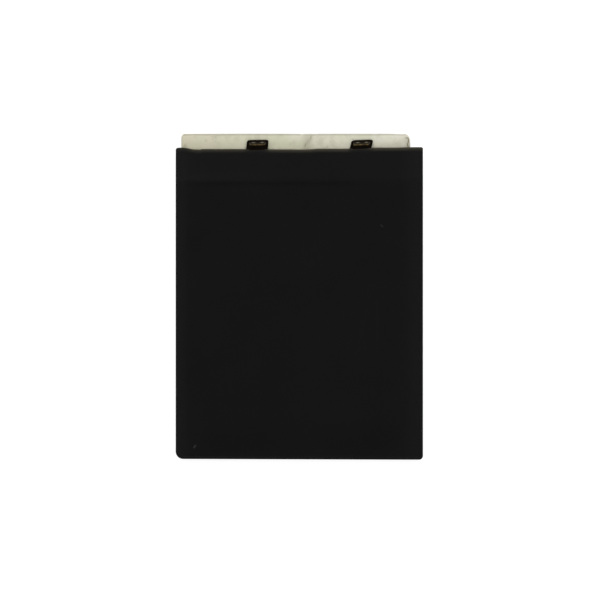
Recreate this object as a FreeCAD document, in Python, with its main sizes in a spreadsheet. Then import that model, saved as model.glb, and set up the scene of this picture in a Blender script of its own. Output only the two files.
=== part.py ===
"""Phone battery: a sealed lithium pouch cell with its taped protection board under the terrace.

The battery lies flat on its drawn side. +X runs across it, +Y runs towards the end with the tabs
and +Z points up out of its flat side. The origin is the middle of the footprint, on the table.
All lengths are in millimetres and all angles in degrees.
"""

import FreeCAD, Part
import Sketcher
from functools import partial
import math
import os

# Driving dimensions

DIMENSIONS = (
    # The pouch: a drawn cup closed by a flat laminate, with its side seals folded up
    ("cell_width", 62.0),
    ("cell_length", 77.8),
    ("cell_thickness", 4.4),
    ("terrace_depth", 5.2),
    ("terrace_thickness", 0.4),
    ("fold_thickness", 0.3),
    ("fold_height", 3.4),
    ("fold_bottom_inset", 2.6),
    ("fold_top_inset", 0.6),
    ("cup_corner_radius", 1.8),
    ("cup_edge_radius", 1.1),
    ("front_edge_radius", 0.25),
    ("bottom_left_radius", 1.9),
    ("bottom_right_radius", 1.0),
    ("top_left_radius", 0.9),
    ("top_right_radius", 0.5),
    # The cut edge of the terrace: an ear on the left, a level stretch, then a climb to the right
    ("ear_width", 5.8),
    ("ear_rise", 0.4),
    ("terrace_right_rise", 0.6),
    ("terrace_climb_x", 0.0),
    # The electrode roll shows through the flat laminate as a low plateau
    ("imprint_rise", 0.12),
    ("imprint_side_margin", 1.0),
    ("imprint_bottom_margin", 0.7),
    ("imprint_top_margin", 5.9),
    ("imprint_left_slope", 2.6),
    ("imprint_right_slope", 3.6),
    ("imprint_bottom_slope", 0.8),
    ("imprint_top_slope", 2.4),
    ("imprint_radius", 2.0),
    # The two leads, each a metal strip between two layers of sealing film, folded into a hairpin
    ("tab_width", 3.9),
    ("tab_thickness", 0.1),
    ("tab_reach", 2.39),
    ("weld_reach", 2.3),
    ("film_width", 5.36),
    ("film_layer", 0.05),
    ("film_root", 1.6),
    ("film_return", 1.3),
    ("film_corner_radius", 0.45),
    ("tab_corner_radius", 0.3),
    ("plan_margin", 0.02),
    ("positive_tab_x", -10.63),
    ("positive_tab_lean", 5.2),
    ("positive_tab_slant", 0.4),
    ("negative_tab_x", 15.3),
    ("negative_tab_lean", 12.5),
    ("negative_tab_slant", 1.5),
    # The header: insulating tape folded round the protection board
    ("header_reach", 3.98),
    ("header_left_inset", 1.41),
    ("header_right_inset", 3.09),
    ("header_gap", 1.2),
    ("header_lift", 0.5),
    ("header_height", 2.5),
    ("header_left_radius", 0.5),
    ("header_right_radius", 1.2),
    ("header_edge_radius", 0.4),
    ("tape_thickness", 0.12),
    # The protection board and what is soldered to it
    ("board_thickness", 0.8),
    ("board_clearance", 0.45),
    ("board_setback", 0.5),
    ("board_corner_radius", 0.4),
    ("board_notch_radius", 0.5),
    ("row_offset", 1.55),
    ("part_gap", 0.8),
    ("link_thickness", 0.15),
    ("link_bend_radius", 0.3),
    ("link_side_margin", 0.4),
    ("link_setback", 2.7),
    ("link_front_inset", 0.5),
    ("notch_clearance", 0.2),
    ("mosfet_length", 5.0),
    ("mosfet_width", 2.0),
    ("mosfet_height", 0.75),
    ("mosfet_chamfer", 0.08),
    ("ic_length", 2.9),
    ("ic_width", 1.6),
    ("ic_height", 1.05),
    ("ic_stand_off", 0.1),
    ("ic_chamfer", 0.12),
    ("ic_lead_span", 2.8),
    ("ic_lead_width", 0.4),
    ("ic_lead_thickness", 0.13),
    ("ic_lead_foot", 0.4),
    ("ic_lead_pitch", 0.95),
    ("sense_length", 3.2),
    ("sense_width", 1.6),
    ("sense_height", 0.55),
    ("chip_length", 1.6),
    ("chip_width", 0.8),
    ("chip_pitch", 2.6),
    ("capacitor_height", 0.8),
    ("resistor_height", 0.45),
    ("thermistor_height", 0.6),
    ("end_cap_length", 0.3),
    ("end_cap_proud", 0.03),
    ("pad_width", 2.4),
    ("pad_length", 3.2),
    ("pad_pitch", 3.6),
    ("pad_corner_radius", 0.3),
    ("window_margin", 0.5),
    ("window_radius", 0.6),
    # The double-sided foam that holds the header under the terrace
    ("foam_end_inset", 1.0),
    ("foam_inner_inset", 0.2),
    ("foam_outer_inset", 0.8),
    ("foam_link_clearance", 0.35),
    ("foam_tab_clearance", 0.5),
)

# Places worked out from the dimensions

PLACES = (
    # The pouch
    ("half_length", "(Sizes.cell_length + Sizes.header_reach) / 2"),
    ("cell_right", "Sizes.cell_width / 2"),
    ("cell_left", "-cell_right"),
    ("cell_bottom", "-half_length"),
    ("terrace_edge", "cell_bottom + Sizes.cell_length"),
    ("shoulder", "terrace_edge - Sizes.terrace_depth"),
    ("flat_level", "Sizes.cell_thickness - Sizes.imprint_rise"),
    ("terrace_under", "flat_level - Sizes.terrace_thickness"),
    ("upper_leg", "flat_level - Sizes.terrace_thickness / 2"),
    ("cup_left", "cell_left + Sizes.fold_thickness"),
    ("cup_right", "cell_right - Sizes.fold_thickness"),
    ("fold_free_edge", "flat_level - Sizes.fold_height"),
    ("fold_bottom", "cell_bottom + Sizes.fold_bottom_inset"),
    ("fold_top", "terrace_edge - Sizes.fold_top_inset"),
    ("ear_foot", "cell_left + Sizes.ear_width"),
    ("terrace_left_edge", "terrace_edge + Sizes.ear_rise"),
    ("terrace_right_edge", "terrace_edge + Sizes.terrace_right_rise"),
    ("imprint_foot_left", "cell_left + Sizes.imprint_side_margin"),
    ("imprint_foot_right", "cell_right - Sizes.imprint_side_margin"),
    ("imprint_foot_bottom", "cell_bottom + Sizes.imprint_bottom_margin"),
    ("imprint_foot_top", "terrace_edge - Sizes.imprint_top_margin"),
    ("imprint_crest_left", "imprint_foot_left + Sizes.imprint_left_slope"),
    ("imprint_crest_right", "imprint_foot_right - Sizes.imprint_right_slope"),
    ("imprint_crest_bottom", "imprint_foot_bottom + Sizes.imprint_bottom_slope"),
    ("imprint_crest_top", "imprint_foot_top - Sizes.imprint_top_slope"),
    # The header tape
    ("header_left", "cell_left + Sizes.header_left_inset"),
    ("header_right", "cell_right - Sizes.header_right_inset"),
    ("header_inner", "shoulder + Sizes.header_gap"),
    ("header_outer", "half_length"),
    ("header_top", "Sizes.header_lift + Sizes.header_height"),
    # The leads, in a frame whose origin is on the terrace edge and whose first axis points outwards
    ("film_total", "Sizes.tab_thickness + 2 * Sizes.film_layer"),
    ("lower_leg", "header_top + film_total / 2"),
    ("bend_start", "Sizes.tab_reach - (upper_leg - lower_leg + film_total) / 2"),
    ("lead_root", "-Sizes.film_root"),
    ("film_end", "bend_start - Sizes.film_return"),
    ("tab_end", "-Sizes.weld_reach"),
    ("plan_front", "Sizes.tab_reach + Sizes.plan_margin"),
    ("plan_back", "-Sizes.weld_reach - Sizes.film_root"),
    ("film_half_width", "Sizes.film_width / 2"),
    ("film_minus_half_width", "-film_half_width"),
    ("tab_half_width", "Sizes.tab_width / 2"),
    ("tab_minus_half_width", "-tab_half_width"),
    ("film_above_upper", "upper_leg + film_total / 2"),
    ("film_below_upper", "upper_leg - film_total / 2"),
    ("film_above_lower", "lower_leg + film_total / 2"),
    ("film_below_lower", "lower_leg - film_total / 2"),
    ("tab_above_upper", "upper_leg + Sizes.tab_thickness / 2"),
    ("tab_below_upper", "upper_leg - Sizes.tab_thickness / 2"),
    ("tab_above_lower", "lower_leg + Sizes.tab_thickness / 2"),
    ("tab_below_lower", "lower_leg - Sizes.tab_thickness / 2"),
    # The protection board and its links
    ("board_left", "header_left + Sizes.tape_thickness + Sizes.board_clearance"),
    ("board_right", "header_right - Sizes.tape_thickness - Sizes.board_clearance"),
    ("board_inner", "header_inner + Sizes.board_setback"),
    ("board_outer", "header_outer - Sizes.tape_thickness - Sizes.board_clearance"),
    ("board_middle", "(board_inner + board_outer) / 2"),
    ("board_under", "Sizes.header_lift + Sizes.tape_thickness"),
    ("board_top", "board_under + Sizes.board_thickness"),
    ("link_width", "Sizes.tab_width + 2 * Sizes.link_side_margin"),
    ("link_back", "terrace_edge - Sizes.link_setback"),
    ("link_front", "terrace_edge - Sizes.link_front_inset"),
    ("link_top", "tab_below_lower"),
    ("link_plate_under", "link_top - Sizes.link_thickness"),
    ("link_foot_top", "board_top + Sizes.link_thickness"),
    ("link_riser_inside", "link_back + Sizes.link_thickness"),
    ("link_inner_radius", "Sizes.link_bend_radius - Sizes.link_thickness"),
    ("notch_front", "link_front + Sizes.notch_clearance"),
    ("notch_half_width", "link_width / 2 + Sizes.notch_clearance"),
    # The rows of parts on the board, between the two links
    ("deck_middle", "(Sizes.positive_tab_x + Sizes.negative_tab_x) / 2"),
    ("inner_row", "board_middle - Sizes.row_offset"),
    ("outer_row", "board_middle + Sizes.row_offset"),
    ("ic_x", "deck_middle + (Sizes.mosfet_length + Sizes.ic_length) / 2 + Sizes.part_gap"),
    ("sense_x", "deck_middle - (Sizes.mosfet_length + Sizes.sense_length) / 2 - Sizes.part_gap"),
    ("sole", "0"),
    ("ic_lead_tip", "Sizes.ic_lead_span / 2"),
    ("ic_riser_outside", "ic_lead_tip - Sizes.ic_lead_foot"),
    ("ic_riser_inside", "ic_riser_outside - Sizes.ic_lead_thickness"),
    ("ic_lead_inside", "Sizes.ic_width / 2 - Sizes.ic_lead_thickness"),
    ("ic_exit_under", "(Sizes.ic_height + Sizes.ic_stand_off - Sizes.ic_lead_thickness) / 2"),
    ("ic_exit_top", "ic_exit_under + Sizes.ic_lead_thickness"),
    ("pad_inner", "board_middle - Sizes.pad_length / 2"),
    ("pad_outer", "board_middle + Sizes.pad_length / 2"),
    ("window_half_width", "Sizes.pad_pitch + Sizes.pad_width / 2 + Sizes.window_margin"),
    ("window_left", "deck_middle - window_half_width"),
    ("window_right", "deck_middle + window_half_width"),
    ("window_inner", "pad_inner - Sizes.window_margin"),
    ("window_outer", "pad_outer + Sizes.window_margin"),
    # The foam strip
    ("foam_left", "header_left + Sizes.foam_end_inset"),
    ("foam_right", "header_right - Sizes.foam_end_inset"),
    ("foam_inner", "header_inner + Sizes.foam_inner_inset"),
    ("foam_outer", "terrace_edge - Sizes.foam_outer_inset"),
    ("foam_waist", "link_back - Sizes.foam_link_clearance"),
    ("foam_notch_half_width", "Sizes.film_width / 2 + Sizes.foam_tab_clearance"),
)

LEADS = ("positive", "negative")
OUTPUT_PADS = ("positive_output_pad", "sense_output_pad", "negative_output_pad")
CHIP_ROW = (
    "series_resistor_1",
    "filter_capacitor_1",
    "thermistor",
    "filter_capacitor_2",
    "series_resistor_2",
)

doc = FreeCAD.newDocument("phone_battery")


def dimension_sheet():
    """The spreadsheet of driving dimensions, one alias to a row."""
    sheet = doc.addObject("Spreadsheet::Sheet", "Sizes")
    for row, (name, size) in enumerate(DIMENSIONS, start=1):
        sheet.set(f"A{row}", name)
        sheet.set(f"B{row}", str(size))
        sheet.setAlias(f"B{row}", name)
    doc.recompute()
    return sheet


def repeated_places():
    """The places that each lead, package, chip and pad has of its own."""
    for lead in LEADS:
        tab_x = f"Sizes.{lead}_tab_x"
        yield f"{lead}_side_turn", f"Sizes.{lead}_tab_lean + Sizes.{lead}_tab_slant"
        yield f"{lead}_notch_left", f"{tab_x} - notch_half_width"
        yield f"{lead}_notch_right", f"{tab_x} + notch_half_width"
        yield f"{lead}_foam_left", f"{tab_x} - foam_notch_half_width"
        yield f"{lead}_foam_right", f"{tab_x} + foam_notch_half_width"
    for package in ("mosfet", "ic"):
        yield f"{package}_right", f"Sizes.{package}_length / 2"
        yield f"{package}_left", f"-{package}_right"
        yield f"{package}_back", f"Sizes.{package}_width / 2"
        yield f"{package}_front", f"-{package}_back"
    for size in ("sense", "chip"):
        yield f"{size}_end", f"Sizes.{size}_length / 2"
        yield f"{size}_minus_end", f"-{size}_end"
        yield f"{size}_cap", f"{size}_end - Sizes.end_cap_length"
        yield f"{size}_minus_cap", f"-{size}_cap"
    for kind in ("sense", "resistor", "capacitor", "thermistor"):
        yield f"{kind}_body_top", f"Sizes.{kind}_height - Sizes.end_cap_proud"
    for step, label in enumerate(CHIP_ROW, start=-(len(CHIP_ROW) // 2)):
        yield f"{label}_x", f"deck_middle + {step} * Sizes.chip_pitch"
    for step, label in enumerate(OUTPUT_PADS, start=-(len(OUTPUT_PADS) // 2)):
        yield f"{label}_left", f"deck_middle + {step} * Sizes.pad_pitch - Sizes.pad_width / 2"
        yield f"{label}_right", f"{label}_left + Sizes.pad_width"


def place_set():
    """The set of places, each bound to the dimensions by its formula."""
    places = doc.addObject("App::VarSet", "Places")
    for name, formula in (*PLACES, *repeated_places()):
        places.addProperty("App::PropertyFloat", name)
        places.setExpression(name, formula)
    doc.recompute()
    return places


SIZES = dimension_sheet()
PLACE = place_set()


def number(name):
    """The present value of a place or a dimension."""
    if name in PLACE.PropertiesList:
        return float(getattr(PLACE, name))
    return float(SIZES.get(name))


def bound(name):
    """The expression that reads a place or a dimension."""
    return f"Places.{name}" if name in PLACE.PropertiesList else f"Sizes.{name}"


# Sketches

def new_body(label):
    body = doc.addObject("PartDesign::Body", label)
    body.Label = label
    return body


def origin_feature(body, role):
    return next(f for f in body.Origin.OriginFeatures if f.Role == role)


def new_sketch(body, name, plane, level=None):
    """A sketch on one of the body's own planes, lifted off it to a named level."""
    sketch = body.newObject("Sketcher::SketchObject", name)
    sketch.AttachmentSupport = [(origin_feature(body, plane), "")]
    sketch.MapMode = "FlatFace"
    if level:
        sketch.setExpression("AttachmentOffset.Base.z", bound(level))
    return sketch


def tie(sketch, kind, geometry, point, name):
    """Fixes a point's distance from the sketch's origin to a named value."""
    index = sketch.addConstraint(Sketcher.Constraint(kind, -1, 1, geometry, point, number(name)))
    sketch.setExpression(f"Constraints[{index}]", bound(name))


def tie_radius(sketch, arc, name):
    index = sketch.addConstraint(Sketcher.Constraint("Radius", arc, number(name)))
    sketch.setExpression(f"Constraints[{index}]", bound(name))


def outline(sketch, corners):
    """A closed outline of level and upright lines. Each corner is (x, y, radius) by name, and a
    corner with no radius is sharp."""
    points = [FreeCAD.Vector(number(x), number(y), 0) for x, y, radius in corners]
    count = len(points)
    heading = [(points[(i + 1) % count] - points[i]).normalize() for i in range(count)]
    trim = [number(radius) if radius else 0.0 for x, y, radius in corners]
    lines = []
    for i in range(count):
        after = (i + 1) % count
        start = points[i] + heading[i] * trim[i]
        end = points[after] - heading[i] * trim[after]
        lines.append(sketch.addGeometry(Part.LineSegment(start, end), False))
        level = abs(heading[i].x) > abs(heading[i].y)
        sketch.addConstraint(Sketcher.Constraint("Horizontal" if level else "Vertical", lines[i]))
    for i, (x, y, radius) in enumerate(corners):
        before = lines[i - 1]
        if radius:
            arc, first, last = corner_arc(sketch, points[i], heading[i - 1], heading[i], trim[i])
            sketch.addConstraint(Sketcher.Constraint("Tangent", before, 2, arc, first))
            sketch.addConstraint(Sketcher.Constraint("Tangent", arc, last, lines[i], 1))
            tie_radius(sketch, arc, radius)
        else:
            sketch.addConstraint(Sketcher.Constraint("Coincident", before, 2, lines[i], 1))
        level = abs(heading[i].x) > abs(heading[i].y)
        tie(sketch, "DistanceY" if level else "DistanceX", lines[i], 1, y if level else x)


def corner_arc(sketch, corner, arriving, leaving, radius):
    """A quarter arc at a corner, and which of its ends meet the arriving and the leaving line."""
    centre = corner + (leaving - arriving) * radius
    circle = Part.Circle(centre, FreeCAD.Vector(0, 0, 1), radius)
    first = math.atan2(-leaving.y, -leaving.x)
    last = math.atan2(arriving.y, arriving.x)
    turns_left = arriving.x * leaving.y - arriving.y * leaving.x > 0
    if turns_left:
        return sketch.addGeometry(Part.ArcOfCircle(circle, first, last), False), 1, 2
    return sketch.addGeometry(Part.ArcOfCircle(circle, last, first), False), 2, 1


def hairpin(sketch, root, end, above_upper, below_upper, above_lower, below_lower):
    """The profile of a strip that leaves its root, turns back through half a circle and runs to
    its end on the lower level. The heights are those of the strip's four long faces."""
    bend = number("bend_start")
    middle = (number(above_upper) + number(below_lower)) / 2

    def line(x0, z0, x1, z1):
        start = FreeCAD.Vector(x0, z0, 0)
        stop = FreeCAD.Vector(x1, z1, 0)
        return sketch.addGeometry(Part.LineSegment(start, stop), False)

    def half_circle(top):
        circle = Part.Circle(FreeCAD.Vector(bend, middle, 0), FreeCAD.Vector(0, 0, 1), top - middle)
        return sketch.addGeometry(Part.ArcOfCircle(circle, -math.pi / 2, math.pi / 2), False)

    start, stop = number(root), number(end)
    top = line(start, number(above_upper), bend, number(above_upper))
    outer = half_circle(number(above_upper))
    base = line(bend, number(below_lower), stop, number(below_lower))
    end_cap = line(stop, number(below_lower), stop, number(above_lower))
    inner_base = line(stop, number(above_lower), bend, number(above_lower))
    inner = half_circle(number(below_upper))
    inner_top = line(bend, number(below_upper), start, number(below_upper))
    root_cap = line(start, number(below_upper), start, number(above_upper))
    for kind, a, a_end, b, b_end in (
        ("Tangent", top, 2, outer, 2),
        ("Tangent", outer, 1, base, 1),
        ("Coincident", base, 2, end_cap, 1),
        ("Coincident", end_cap, 2, inner_base, 1),
        ("Tangent", inner_base, 2, inner, 1),
        ("Tangent", inner, 2, inner_top, 1),
        ("Coincident", inner_top, 2, root_cap, 1),
        ("Coincident", root_cap, 2, top, 1),
        ("Vertical", outer, 3, inner, 3),
    ):
        sketch.addConstraint(Sketcher.Constraint(kind, a, a_end, b, b_end))
    for level in (top, base, inner_base, inner_top):
        sketch.addConstraint(Sketcher.Constraint("Horizontal", level))
    for upright in (end_cap, root_cap):
        sketch.addConstraint(Sketcher.Constraint("Vertical", upright))
    tie(sketch, "DistanceX", root_cap, 1, root)
    tie(sketch, "DistanceX", end_cap, 1, end)
    tie(sketch, "DistanceX", outer, 3, "bend_start")
    tie(sketch, "DistanceY", top, 1, above_upper)
    tie(sketch, "DistanceY", inner_top, 1, below_upper)
    tie(sketch, "DistanceY", inner_base, 1, above_lower)
    tie(sketch, "DistanceY", base, 1, below_lower)


# Features

def pad(body, name, sketch, length, symmetric=False):
    """A pad whose length is an expression."""
    feature = body.newObject("PartDesign::Pad", name)
    feature.Profile = sketch
    feature.SideType = "Symmetric" if symmetric else "One side"
    feature.setExpression("Length", length)
    doc.recompute()
    return feature


def pocket(body, name, sketch, length, downwards=True):
    """A pocket whose depth is an expression, cut down from its sketch or up from it."""
    before = body.Shape.Volume
    feature = body.newObject("PartDesign::Pocket", name)
    feature.Profile = sketch
    feature.Reversed = not downwards
    feature.setExpression("Length", length)
    doc.recompute()
    if not body.Shape.Volume < before:
        raise RuntimeError(f"{name} cuts nothing")
    return feature


def round_edges(body, name, chosen, radius):
    """A fillet on the edges of the body's present shape that the chosen test accepts."""
    base = body.Tip
    names = [f"Edge{i}" for i, edge in enumerate(base.Shape.Edges, start=1) if chosen(edge)]
    if not names:
        raise RuntimeError(f"{name} finds no edges")
    feature = body.newObject("PartDesign::Fillet", name)
    feature.Base = (base, names)
    feature.setExpression("Radius", bound(radius))
    doc.recompute()
    return feature


def near(a, b):
    return abs(a - b) < 1e-4


def lies_at(edge, axis, place):
    """True if the whole edge lies at one place along an axis."""
    box = edge.BoundBox
    ends = {"x": (box.XMin, box.XMax), "y": (box.YMin, box.YMax), "z": (box.ZMin, box.ZMax)}[axis]
    return all(near(end, place) for end in ends)


def upright_at(edge, x, y):
    """True if the edge is upright and passes through a point of the plan."""
    return lies_at(edge, "x", x) and lies_at(edge, "y", y)


# The sealed pouch

def pouch_blank():
    """The pouch without the slots for its leads: laminate, cup, folded side seals and imprint."""
    body = new_body("pouch_blank")
    laminate(body)
    cup = new_sketch(body, "cup_outline", "XY_Plane")
    outline(cup, (
        ("cup_left", "cell_bottom", "cup_corner_radius"),
        ("cup_right", "cell_bottom", "cup_corner_radius"),
        ("cup_right", "shoulder", "cup_corner_radius"),
        ("cup_left", "shoulder", "cup_corner_radius"),
    ))
    pad(body, "drawn_cup", cup, "Places.upper_leg")
    round_edges(body, "cup_rim", partial(lies_at, axis="z", place=0.0), "cup_edge_radius")
    folds = new_sketch(body, "fold_outlines", "XY_Plane", "fold_free_edge")
    for outside, inside in (("cell_left", "cup_left"), ("cell_right", "cup_right")):
        outline(folds, (
            (outside, "fold_bottom", None),
            (inside, "fold_bottom", None),
            (inside, "fold_top", None),
            (outside, "fold_top", None),
        ))
    pad(body, "folded_side_seals", folds, "Places.upper_leg - Places.fold_free_edge")
    electrode_imprint(body)
    return body


def laminate(body):
    """The flat side: one sheet of laminate that reaches past the cup as the terrace."""
    sketch = new_sketch(body, "laminate_outline", "XY_Plane", "terrace_under")
    left, right = number("cell_left"), number("cell_right")
    bottom = number("cell_bottom")
    corners = [
        FreeCAD.Vector(left, number("terrace_left_edge"), 0),
        FreeCAD.Vector(left, bottom, 0),
        FreeCAD.Vector(right, bottom, 0),
        FreeCAD.Vector(right, number("terrace_right_edge"), 0),
        FreeCAD.Vector(number("terrace_climb_x"), number("terrace_edge"), 0),
        FreeCAD.Vector(number("ear_foot"), number("terrace_edge"), 0),
    ]
    ends = zip(corners, corners[1:] + corners[:1])
    sides = [sketch.addGeometry(Part.LineSegment(start, end), False) for start, end in ends]
    for i, side in enumerate(sides):
        sketch.addConstraint(Sketcher.Constraint("Coincident", sides[i - 1], 2, side, 1))
    left_side, bottom_side, right_side, climb, level_edge, ear = sides
    for upright in (left_side, right_side):
        sketch.addConstraint(Sketcher.Constraint("Vertical", upright))
    for level in (bottom_side, level_edge):
        sketch.addConstraint(Sketcher.Constraint("Horizontal", level))
    tie(sketch, "DistanceX", left_side, 1, "cell_left")
    tie(sketch, "DistanceX", right_side, 1, "cell_right")
    tie(sketch, "DistanceY", bottom_side, 1, "cell_bottom")
    tie(sketch, "DistanceY", left_side, 1, "terrace_left_edge")
    tie(sketch, "DistanceY", climb, 1, "terrace_right_edge")
    tie(sketch, "DistanceX", level_edge, 1, "terrace_climb_x")
    tie(sketch, "DistanceY", level_edge, 1, "terrace_edge")
    tie(sketch, "DistanceX", ear, 1, "ear_foot")
    pad(body, "laminate", sketch, "Sizes.terrace_thickness")
    for name, corner in (
        ("top_left", corners[0]),
        ("bottom_left", corners[1]),
        ("bottom_right", corners[2]),
        ("top_right", corners[3]),
    ):
        chosen = partial(upright_at, x=corner.x, y=corner.y)
        round_edges(body, f"{name}_corner", chosen, f"{name}_radius")
    chosen = partial(lies_at, axis="z", place=number("flat_level"))
    round_edges(body, "laminate_rim", chosen, "front_edge_radius")


def electrode_imprint(body):
    """The low plateau over the electrode roll, with its slopes."""
    rings = []
    for ring, level in (("foot", "flat_level"), ("crest", "cell_thickness")):
        sketch = new_sketch(body, f"imprint_{ring}_outline", "XY_Plane", level)
        sides = {side: f"imprint_{ring}_{side}" for side in ("left", "right", "bottom", "top")}
        outline(sketch, (
            (sides["left"], sides["bottom"], "imprint_radius"),
            (sides["right"], sides["bottom"], "imprint_radius"),
            (sides["right"], sides["top"], "imprint_radius"),
            (sides["left"], sides["top"], "imprint_radius"),
        ))
        rings.append(sketch)
    loft = body.newObject("PartDesign::AdditiveLoft", "electrode_imprint")
    loft.Profile = rings[0]
    loft.Sections = rings[1:]
    loft.Ruled = True
    doc.recompute()


# The leads

def folded_strip(label, lead, piece, end):
    """A strip of a lead: its hairpin, made too wide, then cut to the strip's leaning plan."""
    hairpin_body = new_body(f"{label}_hairpin")
    profile = new_sketch(hairpin_body, f"{label}_profile", "YZ_Plane")
    seat_on_terrace_edge(profile, lead, along="x", across="z", upright=FreeCAD.Vector(0, 1, 0))
    faces = [f"{piece}_{face}" for face in ("above_upper", "below_upper", "above_lower", "below_lower")]
    hairpin(profile, "lead_root", end, *faces)
    pad(hairpin_body, f"{label}_strip", profile, f"2 * Sizes.{piece}_width", symmetric=True)
    plan_body = strip_plan(label, lead, piece)
    strip = doc.addObject("Part::MultiCommon", label)
    strip.Label = label
    strip.Shapes = [hairpin_body, plan_body]
    doc.recompute()
    return strip


def strip_plan(label, lead, piece):
    """A prism over the plan of a strip: two leaning sides and the corners of the fold."""
    body = new_body(f"{label}_plan")
    sketch = new_sketch(body, f"{label}_plan_outline", "XY_Plane")
    seat_on_terrace_edge(sketch, lead, along="y", across="x", upright=FreeCAD.Vector(0, 0, 1))
    half, far, back = number(f"{piece}_half_width"), number("plan_front"), number("plan_back")
    radius = number(f"{piece}_corner_radius")
    drift = math.tan(math.radians(number(f"{lead}_side_turn")))
    left = [FreeCAD.Vector(drift * y - half, y, 0) for y in (back, far)]
    right = [FreeCAD.Vector(drift * y + half, y, 0) for y in (back, far)]
    rise = (left[1] - left[0]).normalize()
    level = FreeCAD.Vector(1, 0, 0)
    left_side = sketch.addGeometry(Part.LineSegment(left[0], left[1] - rise * radius), False)
    front = sketch.addGeometry(Part.LineSegment(left[1] + level * radius, right[1] - level * radius), False)
    right_side = sketch.addGeometry(Part.LineSegment(right[1] - rise * radius, right[0]), False)
    rear = sketch.addGeometry(Part.LineSegment(right[0], left[0]), False)
    up = FreeCAD.Vector(0, 0, 1)
    left_turn = Part.Circle(left[1] + FreeCAD.Vector(radius, -radius, 0), up, radius)
    right_turn = Part.Circle(right[1] + FreeCAD.Vector(-radius, -radius, 0), up, radius)
    left_arc = sketch.addGeometry(Part.ArcOfCircle(left_turn, math.pi / 2, math.pi), False)
    right_arc = sketch.addGeometry(Part.ArcOfCircle(right_turn, 0, math.pi / 2), False)
    for kind, a, a_end, b, b_end in (
        ("Tangent", left_side, 2, left_arc, 2),
        ("Tangent", left_arc, 1, front, 1),
        ("Tangent", front, 2, right_arc, 2),
        ("Tangent", right_arc, 1, right_side, 1),
        ("Coincident", right_side, 2, rear, 1),
        ("Coincident", rear, 2, left_side, 1),
    ):
        sketch.addConstraint(Sketcher.Constraint(kind, a, a_end, b, b_end))
    for line in (front, rear):
        sketch.addConstraint(Sketcher.Constraint("Horizontal", line))
    sketch.addConstraint(Sketcher.Constraint("Parallel", left_side, right_side))
    for side, crossing in ((left_side, f"{piece}_minus_half_width"), (right_side, f"{piece}_half_width")):
        mark = sketch.addGeometry(Part.Point(FreeCAD.Vector(number(crossing), 0, 0)), True)
        sketch.addConstraint(Sketcher.Constraint("PointOnObject", mark, 1, side))
        sketch.addConstraint(Sketcher.Constraint("PointOnObject", mark, 1, -1))
        tie(sketch, "DistanceX", mark, 1, crossing)
    tie(sketch, "DistanceY", front, 1, "plan_front")
    tie(sketch, "DistanceY", rear, 1, "plan_back")
    tie_radius(sketch, left_arc, f"{piece}_corner_radius")
    tie_radius(sketch, right_arc, f"{piece}_corner_radius")
    turn = math.radians(90 - number(f"{lead}_side_turn"))
    angle = sketch.addConstraint(Sketcher.Constraint("Angle", left_side, turn))
    sketch.setExpression(f"Constraints[{angle}]", f"(90 - Places.{lead}_side_turn) * 1 deg")
    pad(body, f"{label}_prism", sketch, "Sizes.cell_thickness")
    return body


def seat_on_terrace_edge(sketch, lead, along, across, upright):
    """Puts a sketch's origin where a lead crosses the terrace edge, turned to face its fold."""
    sketch.AttachmentOffset = FreeCAD.Placement(FreeCAD.Vector(), FreeCAD.Rotation(upright, 1.0))
    sketch.setExpression(f"AttachmentOffset.Base.{along}", "Places.terrace_edge")
    sketch.setExpression(f"AttachmentOffset.Base.{across}", f"Sizes.{lead}_tab_x")
    sketch.setExpression("AttachmentOffset.Rotation.Angle", f"Sizes.{lead}_tab_slant * 1 deg")
    doc.recompute()


def cut(label, base, tool):
    """The base with the tool's shape taken out of it."""
    piece = doc.addObject("Part::Cut", label)
    piece.Label = label
    piece.Base = base
    piece.Tool = tool
    doc.recompute()
    return piece


def cell_with_leads():
    """The pouch, slotted for its leads, and each lead's metal strip in its sealing film."""
    tabs = [folded_strip(f"{lead}_tab", lead, "tab", "tab_end") for lead in LEADS]
    sheaths = [folded_strip(f"{lead}_sheath", lead, "film", "film_end") for lead in LEADS]
    films = [cut(f"{lead}_tab_film", sheath, tab) for lead, sheath, tab in zip(LEADS, sheaths, tabs)]
    slots = doc.addObject("Part::MultiFuse", "lead_slots")
    slots.Shapes = sheaths
    pouch = cut("pouch_cell", pouch_blank(), slots)
    return [pouch, *tabs, *films]


# The header

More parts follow.
